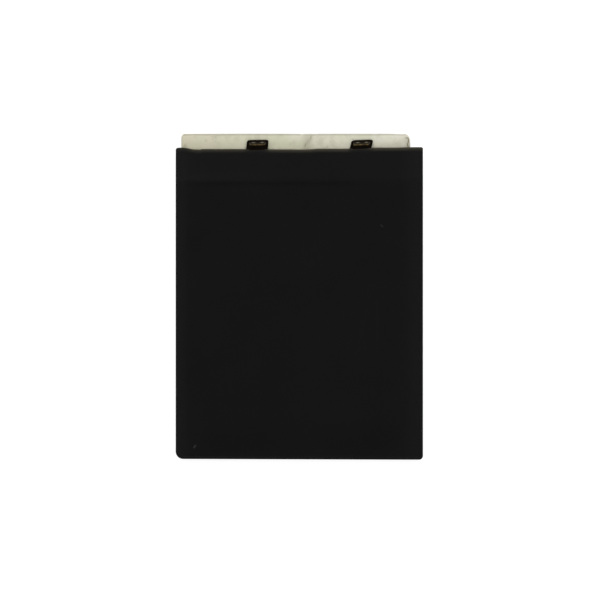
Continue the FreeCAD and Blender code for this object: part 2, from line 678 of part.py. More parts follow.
def header_tape():
    """Insulating tape folded round the board: a sleeve open towards the cell, with a window below
    for the output pads and two notches on top for the links."""
    body = new_body("header_tape")
    plan = new_sketch(body, "tape_outline", "XY_Plane", "header_lift")
    outline(plan, (
        ("header_left", "header_inner", None),
        ("header_right", "header_inner", None),
        ("header_right", "header_outer", "header_right_radius"),
        ("header_left", "header_outer", "header_left_radius"),
    ))
    block = pad(body, "tape_block", plan, "Sizes.header_height")
    inner = number("header_inner")
    levels = (number("header_lift"), number("header_top"))

    def is_folded(edge):
        return any(lies_at(edge, "z", level) for level in levels) and not lies_at(edge, "y", inner)

    block = round_edges(body, "tape_folds", is_folded, "header_edge_radius")
    mouth = next(i for i, face in enumerate(block.Shape.Faces, start=1) if near(face.BoundBox.YMax, inner))
    sleeve = body.newObject("PartDesign::Thickness", "tape_sleeve")
    sleeve.Base = (block, [f"Face{mouth}"])
    sleeve.Reversed = True
    sleeve.setExpression("Value", bound("tape_thickness"))
    doc.recompute()
    window = new_sketch(body, "window_outline", "XY_Plane", "header_lift")
    outline(window, (
        ("window_left", "window_inner", "window_radius"),
        ("window_right", "window_inner", "window_radius"),
        ("window_right", "window_outer", "window_radius"),
        ("window_left", "window_outer", "window_radius"),
    ))
    pocket(body, "pad_window", window, "Sizes.tape_thickness * 2", downwards=False)
    notches = new_sketch(body, "notch_outlines", "XY_Plane", "header_top")
    for lead in LEADS:
        outline(notches, (
            (f"{lead}_notch_left", "shoulder", None),
            (f"{lead}_notch_right", "shoulder", None),
            (f"{lead}_notch_right", "notch_front", None),
            (f"{lead}_notch_left", "notch_front", None),
        ))
    pocket(body, "link_notches", notches, "Sizes.tape_thickness * 2")
    return body


def foam_strip():
    """Double-sided foam between the header and the terrace, notched round the leads."""
    body = new_body("foam_strip")
    plan = new_sketch(body, "foam_outline", "XY_Plane", "header_top")
    corners = [("foam_left", "foam_inner"), ("foam_right", "foam_inner"), ("foam_right", "foam_outer")]
    for lead in reversed(LEADS):
        corners.append((f"{lead}_foam_right", "foam_outer"))
        corners.append((f"{lead}_foam_right", "foam_waist"))
        corners.append((f"{lead}_foam_left", "foam_waist"))
        corners.append((f"{lead}_foam_left", "foam_outer"))
    corners.append(("foam_left", "foam_outer"))
    outline(plan, [(x, y, None) for x, y in corners])
    pad(body, "foam", plan, "Places.terrace_under - Places.header_top")
    return body


# The protection board

def protection_board():
    """The bare board, with a break-off notch in each end."""
    body = new_body("protection_board")
    plan = new_sketch(body, "board_outline", "XY_Plane", "board_under")
    outline(plan, (
        ("board_left", "board_inner", "board_corner_radius"),
        ("board_right", "board_inner", "board_corner_radius"),
        ("board_right", "board_outer", "board_corner_radius"),
        ("board_left", "board_outer", "board_corner_radius"),
    ))
    pad(body, "board", plan, "Sizes.board_thickness")
    notches = new_sketch(body, "board_notch_outlines", "XY_Plane", "board_top")
    for end in ("board_left", "board_right"):
        centre = FreeCAD.Vector(number(end), number("board_middle"), 0)
        circle = Part.Circle(centre, FreeCAD.Vector(0, 0, 1), number("board_notch_radius"))
        notch = notches.addGeometry(circle, False)
        tie(notches, "DistanceX", notch, 3, end)
        tie(notches, "DistanceY", notch, 3, "board_middle")
        tie_radius(notches, notch, "board_notch_radius")
    pocket(body, "break_off_notches", notches, "Sizes.board_thickness")
    return body


def link(lead):
    """A nickel link bent to a C: its foot on the board, its upper plate under the lead."""
    body = new_body(f"{lead}_link")
    profile = new_sketch(body, f"{lead}_link_profile", "YZ_Plane")
    profile.setExpression("AttachmentOffset.Base.z", f"Sizes.{lead}_tab_x")
    outline(profile, (
        ("link_front", "link_top", None),
        ("link_back", "link_top", "link_bend_radius"),
        ("link_back", "board_top", "link_bend_radius"),
        ("link_front", "board_top", None),
        ("link_front", "link_foot_top", None),
        ("link_riser_inside", "link_foot_top", "link_inner_radius"),
        ("link_riser_inside", "link_plate_under", "link_inner_radius"),
        ("link_front", "link_plate_under", None),
    ))
    pad(body, f"{lead}_link_bend", profile, "Places.link_width", symmetric=True)
    return body


def seat_on_board(body, x, y):
    """Stands a body on the board, with its own origin over a point of the plan."""
    body.setExpression("Placement.Base.x", bound(x))
    body.setExpression("Placement.Base.y", bound(y))
    body.setExpression("Placement.Base.z", bound("board_top"))
    doc.recompute()


def moulded_block(body, part, level, height):
    """A moulded package with its upper edges broken."""
    plan = new_sketch(body, f"{part}_outline", "XY_Plane", level)
    outline(plan, (
        (f"{part}_left", f"{part}_front", None),
        (f"{part}_right", f"{part}_front", None),
        (f"{part}_right", f"{part}_back", None),
        (f"{part}_left", f"{part}_back", None),
    ))
    moulding = pad(body, f"{part}_moulding", plan, height)
    top = moulding.Shape.BoundBox.ZMax
    upper = [f"Edge{i}" for i, e in enumerate(moulding.Shape.Edges, start=1) if lies_at(e, "z", top)]
    chamfer = body.newObject("PartDesign::Chamfer", f"{part}_broken_edges")
    chamfer.Base = (moulding, upper)
    chamfer.setExpression("Size", f"Sizes.{part}_chamfer")
    doc.recompute()


def switch_mosfet():
    """The pair of switching transistors, in one leadless package."""
    body = new_body("switch_mosfet")
    moulded_block(body, "mosfet", None, "Sizes.mosfet_height")
    seat_on_board(body, "deck_middle", "inner_row")
    return body


def protection_ic():
    """The controller, a small moulded package on six gull-wing leads."""
    body = new_body("protection_ic")
    moulded_block(body, "ic", "ic_stand_off", "Sizes.ic_height - Sizes.ic_stand_off")
    leg = new_sketch(body, "ic_lead_profile", "YZ_Plane")
    leg.setExpression("AttachmentOffset.Base.z", "-Sizes.ic_lead_pitch")
    outline(leg, (
        ("ic_lead_tip", "sole", None),
        ("ic_lead_tip", "ic_lead_thickness", None),
        ("ic_riser_outside", "ic_lead_thickness", None),
        ("ic_riser_outside", "ic_exit_top", None),
        ("ic_lead_inside", "ic_exit_top", None),
        ("ic_lead_inside", "ic_exit_under", None),
        ("ic_riser_inside", "ic_exit_under", None),
        ("ic_riser_inside", "sole", None),
    ))
    first = pad(body, "ic_lead", leg, "Sizes.ic_lead_width", symmetric=True)
    rows = body.newObject("PartDesign::MultiTransform", "ic_lead_rows")
    along = body.newObject("PartDesign::LinearPattern", "ic_lead_row")
    along.Direction = (origin_feature(body, "X_Axis"), [""])
    along.setExpression("Length", "2 * Sizes.ic_lead_pitch")
    along.Occurrences = 3
    opposite = body.newObject("PartDesign::Mirrored", "ic_lead_opposite_row")
    opposite.MirrorPlane = (origin_feature(body, "XZ_Plane"), [""])
    rows.Originals = [first]
    rows.Transformations = [along, opposite]
    body.Tip = rows
    seat_on_board(body, "ic_x", "inner_row")
    return body


def chip(label, size, kind, x, row):
    """A chip part: a ceramic body between two metal end caps that stand a little proud of it."""
    body = new_body(label)
    profile = new_sketch(body, f"{label}_profile", "XZ_Plane")
    outline(profile, (
        (f"{size}_minus_end", "sole", None),
        (f"{size}_minus_cap", "sole", None),
        (f"{size}_minus_cap", "end_cap_proud", None),
        (f"{size}_cap", "end_cap_proud", None),
        (f"{size}_cap", "sole", None),
        (f"{size}_end", "sole", None),
        (f"{size}_end", f"{kind}_height", None),
        (f"{size}_cap", f"{kind}_height", None),
        (f"{size}_cap", f"{kind}_body_top", None),
        (f"{size}_minus_cap", f"{kind}_body_top", None),
        (f"{size}_minus_cap", f"{kind}_height", None),
        (f"{size}_minus_end", f"{kind}_height", None),
    ))
    pad(body, f"{label}_chip", profile, f"Sizes.{size}_width", symmetric=True)
    seat_on_board(body, x, row)
    return body


def chips():
    """The sense resistor beside the switch, and a row of small chips along the outer edge."""
    made = [chip("sense_resistor", "sense", "sense", "sense_x", "inner_row")]
    kinds = ("resistor", "capacitor", "thermistor")
    for label in CHIP_ROW:
        kind = next(kind for kind in kinds if kind in label)
        made.append(chip(label, "chip", kind, f"{label}_x", "outer_row"))
    return made


def output_pad(label):
    """A gilt contact on the board's underside, flush with the tape round it."""
    body = new_body(label)
    plan = new_sketch(body, f"{label}_outline", "XY_Plane", "header_lift")
    outline(plan, (
        (f"{label}_left", "pad_inner", "pad_corner_radius"),
        (f"{label}_right", "pad_inner", "pad_corner_radius"),
        (f"{label}_right", "pad_outer", "pad_corner_radius"),
        (f"{label}_left", "pad_outer", "pad_corner_radius"),
    ))
    pad(body, f"{label}_gilding", plan, "Sizes.tape_thickness")
    return body


# The whole battery

def write(pieces):
    """Checks the document, then writes each sub-part's solid to a file of its own."""
    doc.recompute()
    failed = [item.Name for item in doc.Objects if {"Invalid", "Error"} & set(item.State)]
    if failed:
        raise RuntimeError(f"not built: {failed}")
    for piece in pieces:
        if piece.Shape.isNull() or not piece.Shape.isValid():
            raise RuntimeError(f"{piece.Label} has no sound shape")
    os.makedirs("parts", exist_ok=True)
    for piece in pieces:
        piece.Shape.exportStep(f"parts/{piece.Label}.step")


pieces = cell_with_leads()
pieces += [header_tape(), foam_strip(), protection_board()]
pieces += [link(lead) for lead in LEADS]
pieces += [switch_mosfet(), protection_ic()]
pieces += chips()
pieces += [output_pad(label) for label in OUTPUT_PADS]
write(pieces)
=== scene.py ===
import bpy
import numpy as np
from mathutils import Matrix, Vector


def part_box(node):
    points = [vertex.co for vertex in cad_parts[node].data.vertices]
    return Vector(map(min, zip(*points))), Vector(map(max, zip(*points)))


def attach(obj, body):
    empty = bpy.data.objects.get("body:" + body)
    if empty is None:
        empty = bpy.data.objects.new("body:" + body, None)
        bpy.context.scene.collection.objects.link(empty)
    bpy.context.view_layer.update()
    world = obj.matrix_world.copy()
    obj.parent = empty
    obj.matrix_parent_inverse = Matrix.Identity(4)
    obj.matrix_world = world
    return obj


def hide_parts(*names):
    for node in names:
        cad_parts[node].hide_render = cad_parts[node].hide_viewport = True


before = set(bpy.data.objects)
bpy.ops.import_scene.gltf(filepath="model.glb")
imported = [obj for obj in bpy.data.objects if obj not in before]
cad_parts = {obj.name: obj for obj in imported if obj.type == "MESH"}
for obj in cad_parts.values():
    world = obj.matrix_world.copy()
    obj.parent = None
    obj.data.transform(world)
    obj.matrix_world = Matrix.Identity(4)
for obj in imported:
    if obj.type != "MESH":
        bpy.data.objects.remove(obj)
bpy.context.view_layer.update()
bpy.context.scene.view_settings.view_transform = "Standard"


# The sealed pouch: black nylon-faced aluminium laminate, drawn into a shallow cup, filled and closed
# with a flat sheet. The side seals are folded against the cup, the end seal stays flat as the terrace,
# and the wound electrodes show through the flat sheet as a low plateau.

MM = 0.001

pouch_low, pouch_high = np.array(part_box("pouch_cell")) / MM
cell_left, cell_bottom = pouch_low[:2]
cell_right, cell_top, cell_front = pouch_high
cell_width = cell_right - cell_left

terrace_climb = 0.6
terrace_edge = cell_top - terrace_climb
terrace_depth = 5.2
terrace_thickness = 0.4
shoulder = terrace_edge - terrace_depth
plateau_rise = 0.12
flat_level = cell_front - plateau_rise
terrace_under = flat_level - terrace_thickness
plateau_margin = 5.9
plateau_foot = terrace_edge - plateau_margin
plateau_slope = 2.4
cup_rim = 1.1
cup_corner = 1.8
fold_thickness = 0.3
fold_height = 3.4
fold_free_edge = flat_level - fold_height
fold_bottom = cell_bottom + 2.6
fold_top = terrace_edge - 0.6
fold_taper = 0.8

# The flat sheet's corners in plan, the slant of its bottom edge, and its rounded lips.
bottom_left_corner = 1.9
bottom_right_corner = 1.0
top_left_corner = 0.5
top_right_corner = 0.4
bottom_slant = 0.2
bottom_lip = 0.12
side_lip = 0.06
terrace_lip_length = 1.2
terrace_lip_drop = 0.17
terrace_lip_under = 0.08
terrace_rim = 0.1

# The middles of the two leads at the cut edge, and half the width of the seal that each one lifts.
positive_tab_x = -10.63
negative_tab_x = 15.3
lead_lift = 2.9

front_points = 140


def ease(t):
    """A smooth step: three t squared less two t cubed, level below 0 and above 1."""
    t = np.clip(t, 0.0, 1.0)
    return t * t * (3.0 - 2.0 * t)


def hump(t):
    """A bell of height 1 at 0: e to the minus t squared."""
    return np.exp(-t * t)


def ramp(t, softness):
    """Nothing below 0 and t above it, with a rounded corner: half of t plus its length with softness."""
    return (t + np.sqrt(t * t + softness * softness)) / 2.0


def between(a, b, t):
    """The value a share t of the way from a to b."""
    return a + (b - a) * t


def corner_inset(distance, radius):
    """How far a quarter round stands in from its side, at a distance from its end: the radius less the
    other leg of the right triangle on it."""
    leg = radius - np.clip(distance, 0.0, radius)
    return radius - np.sqrt(np.maximum(radius**2 - leg**2, 0.0))


def over_leads(x):
    """Nearly 1 over each lead and 0 away from it: two flat-topped bells in t cubed."""
    return hump(((x - positive_tab_x) / lead_lift) ** 3) + hump(((x - negative_tab_x) / lead_lift) ** 3)


def cut_edge(x):
    """Y of the terrace's cut edge: level, with a rounded ear and a nick at its foot on the left, a slight
    rise beside them, and a climb in three eased steps to the right corner."""
    ear_height, ear_width, ear_fall, ear_corner = 0.46, 1.9, 3.0, 0.1
    nick_depth, nick_place, rise_height = 0.08, 6.0, 0.1
    steps = ((0.33, 1.2, 4.2), (0.45, 11.0, 9.0), (0.22, 24.0, 5.0))  # share of the climb, start, length
    along = x - cell_left
    ear = ear_height * (1.0 - ease((along - ear_width) / ear_fall)) - ear_corner * hump(along / 0.45)
    nick = nick_depth * hump((along - nick_place) / 0.5)
    rise = rise_height * ease((along - 6.1) / 0.6) * (1.0 - ease((along - 18.0) / 14.0))
    climb = terrace_climb * sum(share * ease((x - start) / length) for share, start, length in steps)
    return np.minimum(terrace_edge + ear + rise - nick + climb, cell_top)


def front_relief(x, y):
    """Height over the flat laminate: a plateau that falls away in a soft ramp on each side and in an
    eased slope at the top, steepest at the left, with a low ridge along its crest, long soft waves, and
    the seal pressed a little thinner beside the two leads."""
    headroom, wave_height, ridge_height, press_depth = 0.02, 0.008, 0.01, 0.015
    left_grade, left_margin, right_grade, right_margin = 0.09, 2.6, 0.06, 4.4
    bottom_grade, bottom_margin = 0.03, 1.0
    top_fall, top_left_fall, top_right_fall = 0.04, 0.12, 0.05
    sides = left_grade * ramp(cell_left + left_margin - x, 1.2)
    sides = sides + right_grade * ramp(x - cell_right + right_margin, 1.6)
    bottom = bottom_grade * ramp(cell_bottom + bottom_margin - y, 0.3)
    ends = top_left_fall * hump((x - cell_left) / 16.0) + top_right_fall * hump((x - cell_right) / 8.0)
    top = (top_fall + ends) * ease((y - plateau_foot + plateau_slope) / plateau_slope)
    waves = np.sin(0.21 * x + 0.8 * np.sin(0.11 * y) + 1.3) * np.sin(0.17 * y + 0.5 * np.sin(0.13 * x))
    ridge = hump((y - plateau_foot + 2.1) / 0.5) * ease((x + 28.0) / 6.0) * ease((17.0 - x) / 9.0)
    sealed = ease((y - shoulder - 0.6) / 1.2) * ease((terrace_edge - 0.9 - y) / 0.8)
    pressed = press_depth * sealed * (1.0 - over_leads(x))
    fall = sides + bottom + top + pressed
    return plateau_rise - headroom - fall + wave_height * waves + ridge_height * ridge


def back_relief(x, y):
    """Height over the back's lowest level: soft waves from 0 to twice their height."""
    wave_height = 0.025
    return wave_height * (1.0 + np.sin(0.19 * x + 0.6) * np.sin(0.15 * y + 0.3 * np.sin(0.1 * x)))


def pouch_rings():
    """A closed loop carried from the bottom wall to the cut edge. Its front and back follow tracks of
    their own in Y and Z: quarter rounds over the bottom edges, straight runs, a falling power curve at
    the cut edge, and on the back the shoulder, which climbs to the underside of the terrace. Each side is
    a rounded lip, the folded seal, the cup's wall and the cup's rim, which rolls round the cup's corners
    as a ball would: drawn in by its radius less a cosine, on a corner that is tighter by as much. Rows
    and columns lie closer together where the rim turns."""
    turn = np.linspace(0.0, np.pi / 2, 9)
    roll = np.linspace(0.08, np.pi / 2, 25)
    run = np.linspace(0.0, 1.0, 151)
    run = (run - 0.92 * np.sin(2.0 * np.pi * run) / (2.0 * np.pi))[1:]
    lip_turn = np.linspace(0.0, np.pi / 2, roll.size)
    over_shoulder = np.linspace(0.0, 1.0, roll.size + turn.size + 1)[1:]
    step = np.linspace(0.0, 1.0, 19)[1:]
    last = np.linspace(0.0, 1.0, 13)[1:]
    web, span = 0.3, 1.5
    on_cup, on_terrace = 2 * roll.size + run.size, turn.size + step.size + last.size

    front_y = np.concatenate((
        cell_bottom + bottom_lip * (1.0 - np.cos(lip_turn)),
        between(cell_bottom + bottom_lip, shoulder - span, run),
        between(shoulder - span, shoulder + span, over_shoulder),
        between(shoulder + span, terrace_edge - terrace_lip_length, step),
        terrace_edge - terrace_lip_length * (1.0 - last),
    ))[:, None]
    front_z = np.concatenate((
        flat_level - bottom_lip * (1.0 - np.sin(lip_turn)),
        np.full(run.size + over_shoulder.size + step.size, flat_level),
        flat_level - terrace_lip_drop * last**1.7,
    ))[:, None]
    back_y = np.concatenate((
        cell_bottom + cup_rim * (1.0 - np.cos(roll)),
        between(cell_bottom + cup_rim, shoulder - cup_rim, run),
        shoulder - cup_rim * (1.0 - np.cos(roll[::-1])),
        shoulder + web * (1.0 - np.cos(turn)),
        between(shoulder + web, terrace_edge - terrace_lip_under, step),
        terrace_edge - terrace_lip_under * (1.0 - last),
    ))[:, None]
    back_z = np.concatenate((
        cup_rim * (1.0 - np.sin(roll)),
        np.zeros(run.size),
        cup_rim * (1.0 - np.sin(roll[::-1])),
        terrace_under - web * (1.0 - np.sin(turn)),
        np.full(step.size, terrace_under),
        terrace_under + terrace_lip_under * (1.0 - np.sqrt(1.0 - last**2)),
    ))[:, None]

    depth = front_z - back_z
    full = np.minimum(1.0, depth / terrace_thickness)
    from_bottom, from_edge = front_y - cell_bottom, terrace_edge - front_y
    fold = fold_thickness * ease(from_bottom / 0.6) * full
    lip = np.minimum(side_lip, 0.45 * depth)
    folded = ease((front_y - fold_bottom) / fold_taper) * ease((fold_top - front_y) / fold_taper)
    foot = between(front_z - np.minimum(terrace_thickness, 0.9 * depth), fold_free_edge, folded)
    above = np.repeat((False, True), (on_cup, on_terrace))[:, None]
    rim = np.where(above, terrace_rim * full, cup_rim)
    rolled = np.concatenate((
        roll, np.full(run.size, np.pi / 2), roll[::-1], np.full(on_terrace, np.pi / 2),
    ))
    rolled = rolled[:, None] * (1.0 - np.linspace(1.0, 0.0, 11) ** 2)[None, :]
    drawn_in = rim * (1.0 - np.cos(rolled))
    tight = np.where(above, cup_corner, cup_corner - drawn_in)
    cup_inset = fold_thickness + drawn_in + corner_inset(back_y - cell_bottom - drawn_in, tight)
    cup_inset = cup_inset + np.where(
        above, cup_corner * (1.0 - ease((back_y - shoulder) / 0.6)),
        corner_inset(shoulder - back_y - drawn_in, tight),
    )
    cup_z = np.where(above, back_z - rim * (1.0 - np.sin(rolled)), rim * (1.0 - np.sin(rolled)))
    left = cell_left + corner_inset(from_bottom, bottom_left_corner)
    left = left + corner_inset(from_edge, top_left_corner)
    right = cell_right - corner_inset(from_bottom, bottom_right_corner)
    right = right - corner_inset(from_edge, top_right_corner)

    def shifted(y, x):
        """Y moved to the cut edge at the top and to the slightly slanting bottom edge."""
        reach = 12.0
        at_edge = ease((y - shoulder + reach) / (terrace_depth + reach - 1.0))
        at_bottom = 1.0 - ease((y - cell_bottom) / reach)
        slant = bottom_slant * (cell_right - x) / cell_width
        return y + at_edge * (cut_edge(x) - terrace_edge) + at_bottom * slant

    def side(limit, inward):
        """From the lip round the folded seal and down the cup to its rim, as X, Y and Z."""
        if inward > 0:
            cup = np.maximum(cell_left + cup_inset, limit + fold)
        else:
            cup = np.minimum(cell_right - cup_inset, limit - fold)
        quarter = np.linspace(0.0, np.pi / 2, 7)[None, 1:]
        half = np.linspace(0.0, np.pi, 7)[None, 1:]
        down = np.linspace(0.0, 1.0, 8)[None, 1:]
        level = np.zeros_like(down)
        lip_top = front_z + front_relief(limit, front_y) * full
        foot_top = np.minimum(foot + fold / 2, lip_top - lip)
        x = np.hstack((
            limit + inward * lip * (1.0 - np.sin(quarter)),
            limit + level,
            limit + inward * fold / 2 * (1.0 - np.cos(half)),
            between(limit + inward * fold, cup[:, :1], down),
            cup[:, 1:],
        ))
        z = np.hstack((
            lip_top - lip * (1.0 - np.cos(quarter)),
            between(lip_top - lip, foot_top, down),
            foot_top - fold / 2 * np.sin(half),
            between(foot_top, cup_z[:, :1], down),
            cup_z[:, 1:],
        ))
        share = np.hstack((
            np.zeros((1, quarter.size + down.size + half.size)), down, np.ones((1, rolled.shape[1] - 1)),
        ))
        y = between(shifted(front_y, x), shifted(back_y, x), share)
        return np.dstack((x, y, z))

    across = np.linspace(0.0, 1.0, front_points)[None, :]
    x = between(left + lip, right - lip, across)
    z = front_z + front_relief(x, front_y) * full
    front = np.dstack((x, shifted(front_y, x), z))
    right_side = side(right, -1.0)
    left_side = side(left, 1.0)[:, ::-1]
    across = np.linspace(0.0, 1.0, front_points + 2)[None, 1:-1]
    x = between(right_side[:, -1:, 0], left_side[:, :1, 0], across)
    y = shifted(back_y, x)
    margin = 6.0
    inner = ease((y - cell_bottom) / margin) * ease((shoulder - y) / margin)
    back = np.dstack((x, y, back_z + inner * back_relief(x, y)))
    rings = np.hstack((front, right_side, back, left_side))
    return np.clip(rings, pouch_low, pouch_high)


def quads(rows, columns, closed):
    """The four corners of each cell of a grid, row by row; a closed grid joins its last column to its
    first."""
    row = np.arange(rows - 1)[:, None] * columns
    column = np.arange(columns if closed else columns - 1)[None, :]
    beside = (column + 1) % columns
    corners = (row + column, row + beside, row + columns + beside, row + columns + column)
    return np.stack(corners, axis=-1).reshape(-1, 4)


def laced_end(first, around):
    """The faces that close a ring like a lace: from the front to the back point by point, and one face
    over each side."""
    side = around // 2 - front_points
    front = first + np.arange(front_points)
    back = first + front_points + side + np.arange(front_points)[::-1]
    faces = np.stack((front[:-1], front[1:], back[1:], back[:-1]), axis=-1).tolist()
    faces.append(list(range(first + front_points - 1, first + front_points + side + 1)))
    faces.append([*range(first + 2 * front_points + side - 1, first + around), first])
    return faces


def new_piece(name, points, faces, sharp=50.0):
    """A smooth-shaded object from points in millimetres, with edges sharper than an angle kept sharp."""
    mesh = bpy.data.meshes.new(name)
    mesh.from_pydata((points.reshape(-1, 3) * MM).tolist(), [], faces)
    mesh.shade_smooth()
    mesh.set_sharp_from_angle(angle=np.radians(sharp))
    piece = bpy.data.objects.new(name, mesh)
    bpy.context.scene.collection.objects.link(piece)
    return piece


def mark(piece, name, values):
    """Keeps one number for each point of a piece, for its material to read by name."""
    kept = piece.data.attributes.new(name, "FLOAT", "POINT")
    kept.data.foreach_set("value", np.ascontiguousarray(values, dtype=np.float32).ravel())


def linear(colour):
    """The linear RGBA of an sRGB hex colour."""
    value = np.array([int(colour[i:i + 2], 16) for i in (1, 3, 5)]) / 255.0
    value = np.where(value <= 0.04045, value / 12.92, ((value + 0.055) / 1.055) ** 2.4)
    return (*value.tolist(), 1.0)


def add(tree, kind, inputs=None, **settings):
    """Adds a node, sets its properties, and gives each input a value or a link from another socket."""
    node = tree.nodes.new(kind)
    for name, value in settings.items():
        setattr(node, name, value)
    for socket, value in (inputs or {}).items():
        if isinstance(value, bpy.types.NodeSocket):
            tree.links.new(value, node.inputs[socket])
        else:
            node.inputs[socket].default_value = value
    return node


def new_material(name):
    """An empty node material, its tree, and the object coordinates that its patterns are laid out on."""
    material = bpy.data.materials.new(name)
    material.use_nodes = True
    material.node_tree.nodes.clear()
    place = add(material.node_tree, "ShaderNodeTexCoord").outputs["Object"]
    return material, material.node_tree, place


def per_mm(size):
    """The scale of a pattern whose features are a size in millimetres, on coordinates in metres."""
    return 1.0 / (size * MM)


# Nylon-faced pouch laminate: a deep black, evenly satin, with faint clouds from rolling and a fine skin
# texture. A painted highlight lightens its margins, the seal band, the slope under it and the bottom lip,
# where they catch the light; a painted shade darkens a line under the plateau's ridge, and the face is
# painted darker towards the bottom. Its cut edge is a warm brown, partly the worn layers of the laminate
# and partly a painted reflection of the pale tape and a painted highlight.
# The real grain is under 0.1 mm, so it is drawn at 0.7 mm to show at all.
laminate, tree, place = new_material("nylon_faced_laminate")
clouds = add(tree, "ShaderNodeTexNoise", {"Vector": place, "Scale": per_mm(11.0), "Detail": 3.0})
grain = add(tree, "ShaderNodeTexNoise", {"Vector": place, "Scale": per_mm(0.7), "Detail": 2.0})
colour = add(
    tree, "ShaderNodeMix",
    {0: clouds.outputs["Fac"], 6: linear("#101010"), 7: linear("#141414")}, data_type="RGBA",
)
# Over the base: a painted highlight, a painted shade, and the edge's brown with its painted reflection.
for painted_light_and_wear, tone in (("painted_sheen", "#171717"), ("creased", "#090909"), ("edge_brown_and_reflection", "#4c4739")):
    share = add(tree, "ShaderNodeAttribute", attribute_name=painted_light_and_wear)
    colour = add(
        tree, "ShaderNodeMix",
        {0: share.outputs["Fac"], 6: colour.outputs[2], 7: linear(tone)}, data_type="RGBA",
    )
# Three old marks on the face: a nick, a short scratch by the corner and a faint long line, each with its
# place and its half length and half width in millimetres, its turn in degrees and its strength.
for x, y, turn, length, width, strength in (
    (20.7, 17.75, -45.0, 0.62, 0.13, 0.45),
    (-26.2, -37.55, 50.0, 0.72, 0.24, 0.5),
    (19.6, -7.7, 90.0, 8.0, 0.2, 0.05),
):
    lain = add(
        tree, "ShaderNodeMapping",
        {"Vector": place, "Location": (x * MM, y * MM, cell_front * MM),
         "Rotation": (0.0, 0.0, np.radians(turn)), "Scale": (length * MM, width * MM, 2.0 * MM)},
        vector_type="TEXTURE",
    )
    away = add(tree, "ShaderNodeVectorMath", {0: lain.outputs["Vector"]}, operation="LENGTH")
    scuff = add(
        tree, "ShaderNodeMapRange",
        {"Value": away.outputs["Value"], "From Min": 1.0, "From Max": 0.5,
         "To Min": 0.0, "To Max": strength},
    )
    colour = add(
        tree, "ShaderNodeMix",
        {0: scuff.outputs["Result"], 6: colour.outputs[2], 7: linear("#4a4a48")}, data_type="RGBA",
    )
satin = add(
    tree, "ShaderNodeMapRange",
    {"Value": grain.outputs["Fac"], "From Min": 0.3, "From Max": 0.7, "To Min": 0.28, "To Max": 0.34},
)
skin = add(
    tree, "ShaderNodeBump",
    {"Height": grain.outputs["Fac"], "Strength": 0.25, "Distance": 0.02 * MM},
)
shader = add(
    tree, "ShaderNodeBsdfPrincipled",
    {"Base Color": colour.outputs[2], "Roughness": satin.outputs["Result"], "IOR": 1.53,
     "Normal": skin.outputs["Normal"]},
)
add(tree, "ShaderNodeOutputMaterial", {"Surface": shader.outputs["BSDF"]})

rings = pouch_rings()
count, around = rings.shape[:2]
faces = quads(count, around, closed=True).tolist()
faces += [face[::-1] for face in laced_end(0, around)]
faces += laced_end((count - 1) * around, around)
pouch = new_piece("pouch_skin", rings, faces)
x, y, z = np.moveaxis(rings, -1, 0)
# The painted highlight, painted shade and edge tone of each point, from 0 to 1, on the side that faces
# up: bells and eased steps, with lengths in millimetres.
facing_up = ease((z - flat_level + 0.6) / 0.2)
# Painted highlight: margins, seal band, slope and bottom lip made lighter where they catch the light.
margins = ease((cell_left + 4.4 - x) / 5.5) + 0.65 * ease((x - cell_right + 7.0) / 7.0)
seal_band = (0.36 + 0.25 * hump((x - cell_left) / 12.0)) * ease((y - plateau_foot + plateau_slope) / 1.6)
on_slope = 0.4 * hump((x - cell_left - 5.0) / 12.0) * hump((y - plateau_foot + 1.2) / 1.0)
bottom_lip_sheen = 0.9 * ease((cell_bottom + 1.1 - y) / 0.4)
mark(pouch, "painted_sheen", np.clip(margins + seal_band + on_slope + bottom_lip_sheen, 0.0, 1.0) * facing_up)
# Painted shade: a dark line under the plateau's ridge, and the face darker towards the bottom.
along_ridge = ease((x + 30.0) / 8.0) * ease((20.0 - x) / 9.0)
creased = 0.4 * hump((y - plateau_foot + 2.7) / 0.5) * along_ridge
foot_shade = 0.16 * ease((cell_bottom + 12.0 - y) / 8.0) * ease((y - cell_bottom - 1.0) / 2.0)
foot_shade = foot_shade * ease((x - cell_left - 3.0) / 6.0) * ease((cell_right - 4.0 - x) / 6.0)
mark(pouch, "creased", (creased + foot_shade) * facing_up)
# Cut edge: its worn brown layers, with a painted reflection of the tape and highlight, less by the leads.
from_cut = np.clip(1.0 - (cut_edge(x) - y) / 1.15, 0.0, 1.0) ** 1.7
rightwards = 0.75 + 0.25 * ease((x - cell_left - 4.0) / 40.0) - 0.4 * ease((cell_left + 5.0 - x) / 3.0)
mark(pouch, "edge_brown_and_reflection", from_cut * facing_up * rightwards * (1.0 - 0.85 * over_leads(x)))
pouch.data.materials.append(laminate)
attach(pouch, "root")
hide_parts("pouch_cell")


# The two leads: a strip of aluminium and one of nickel-plated copper, each between two layers of dark
# sealing film, folded over the terrace edge into a hairpin and welded at the end. The film swells over
# the strip, and the fold is scored with a shallow groove.

film_total = 0.2
film_half_width = 2.72
tab_half_width = 1.95
tab_reach = 2.435
film_root = -1.6
upper_leg = flat_level - terrace_thickness / 2
lower_leg = 3.1
bend_start = tab_reach - (upper_leg - lower_leg + film_total) / 2
film_return = 1.3
film_end = bend_start - film_return
film_corner = 0.5
film_edge = 0.07
film_bare = 0.55
groove_from = 1.18
groove_to = 1.73
groove_half_width = 1.75
groove_flare = 0.25
groove_wall = 0.14
groove_depth = 0.03
bright_line = 0.1


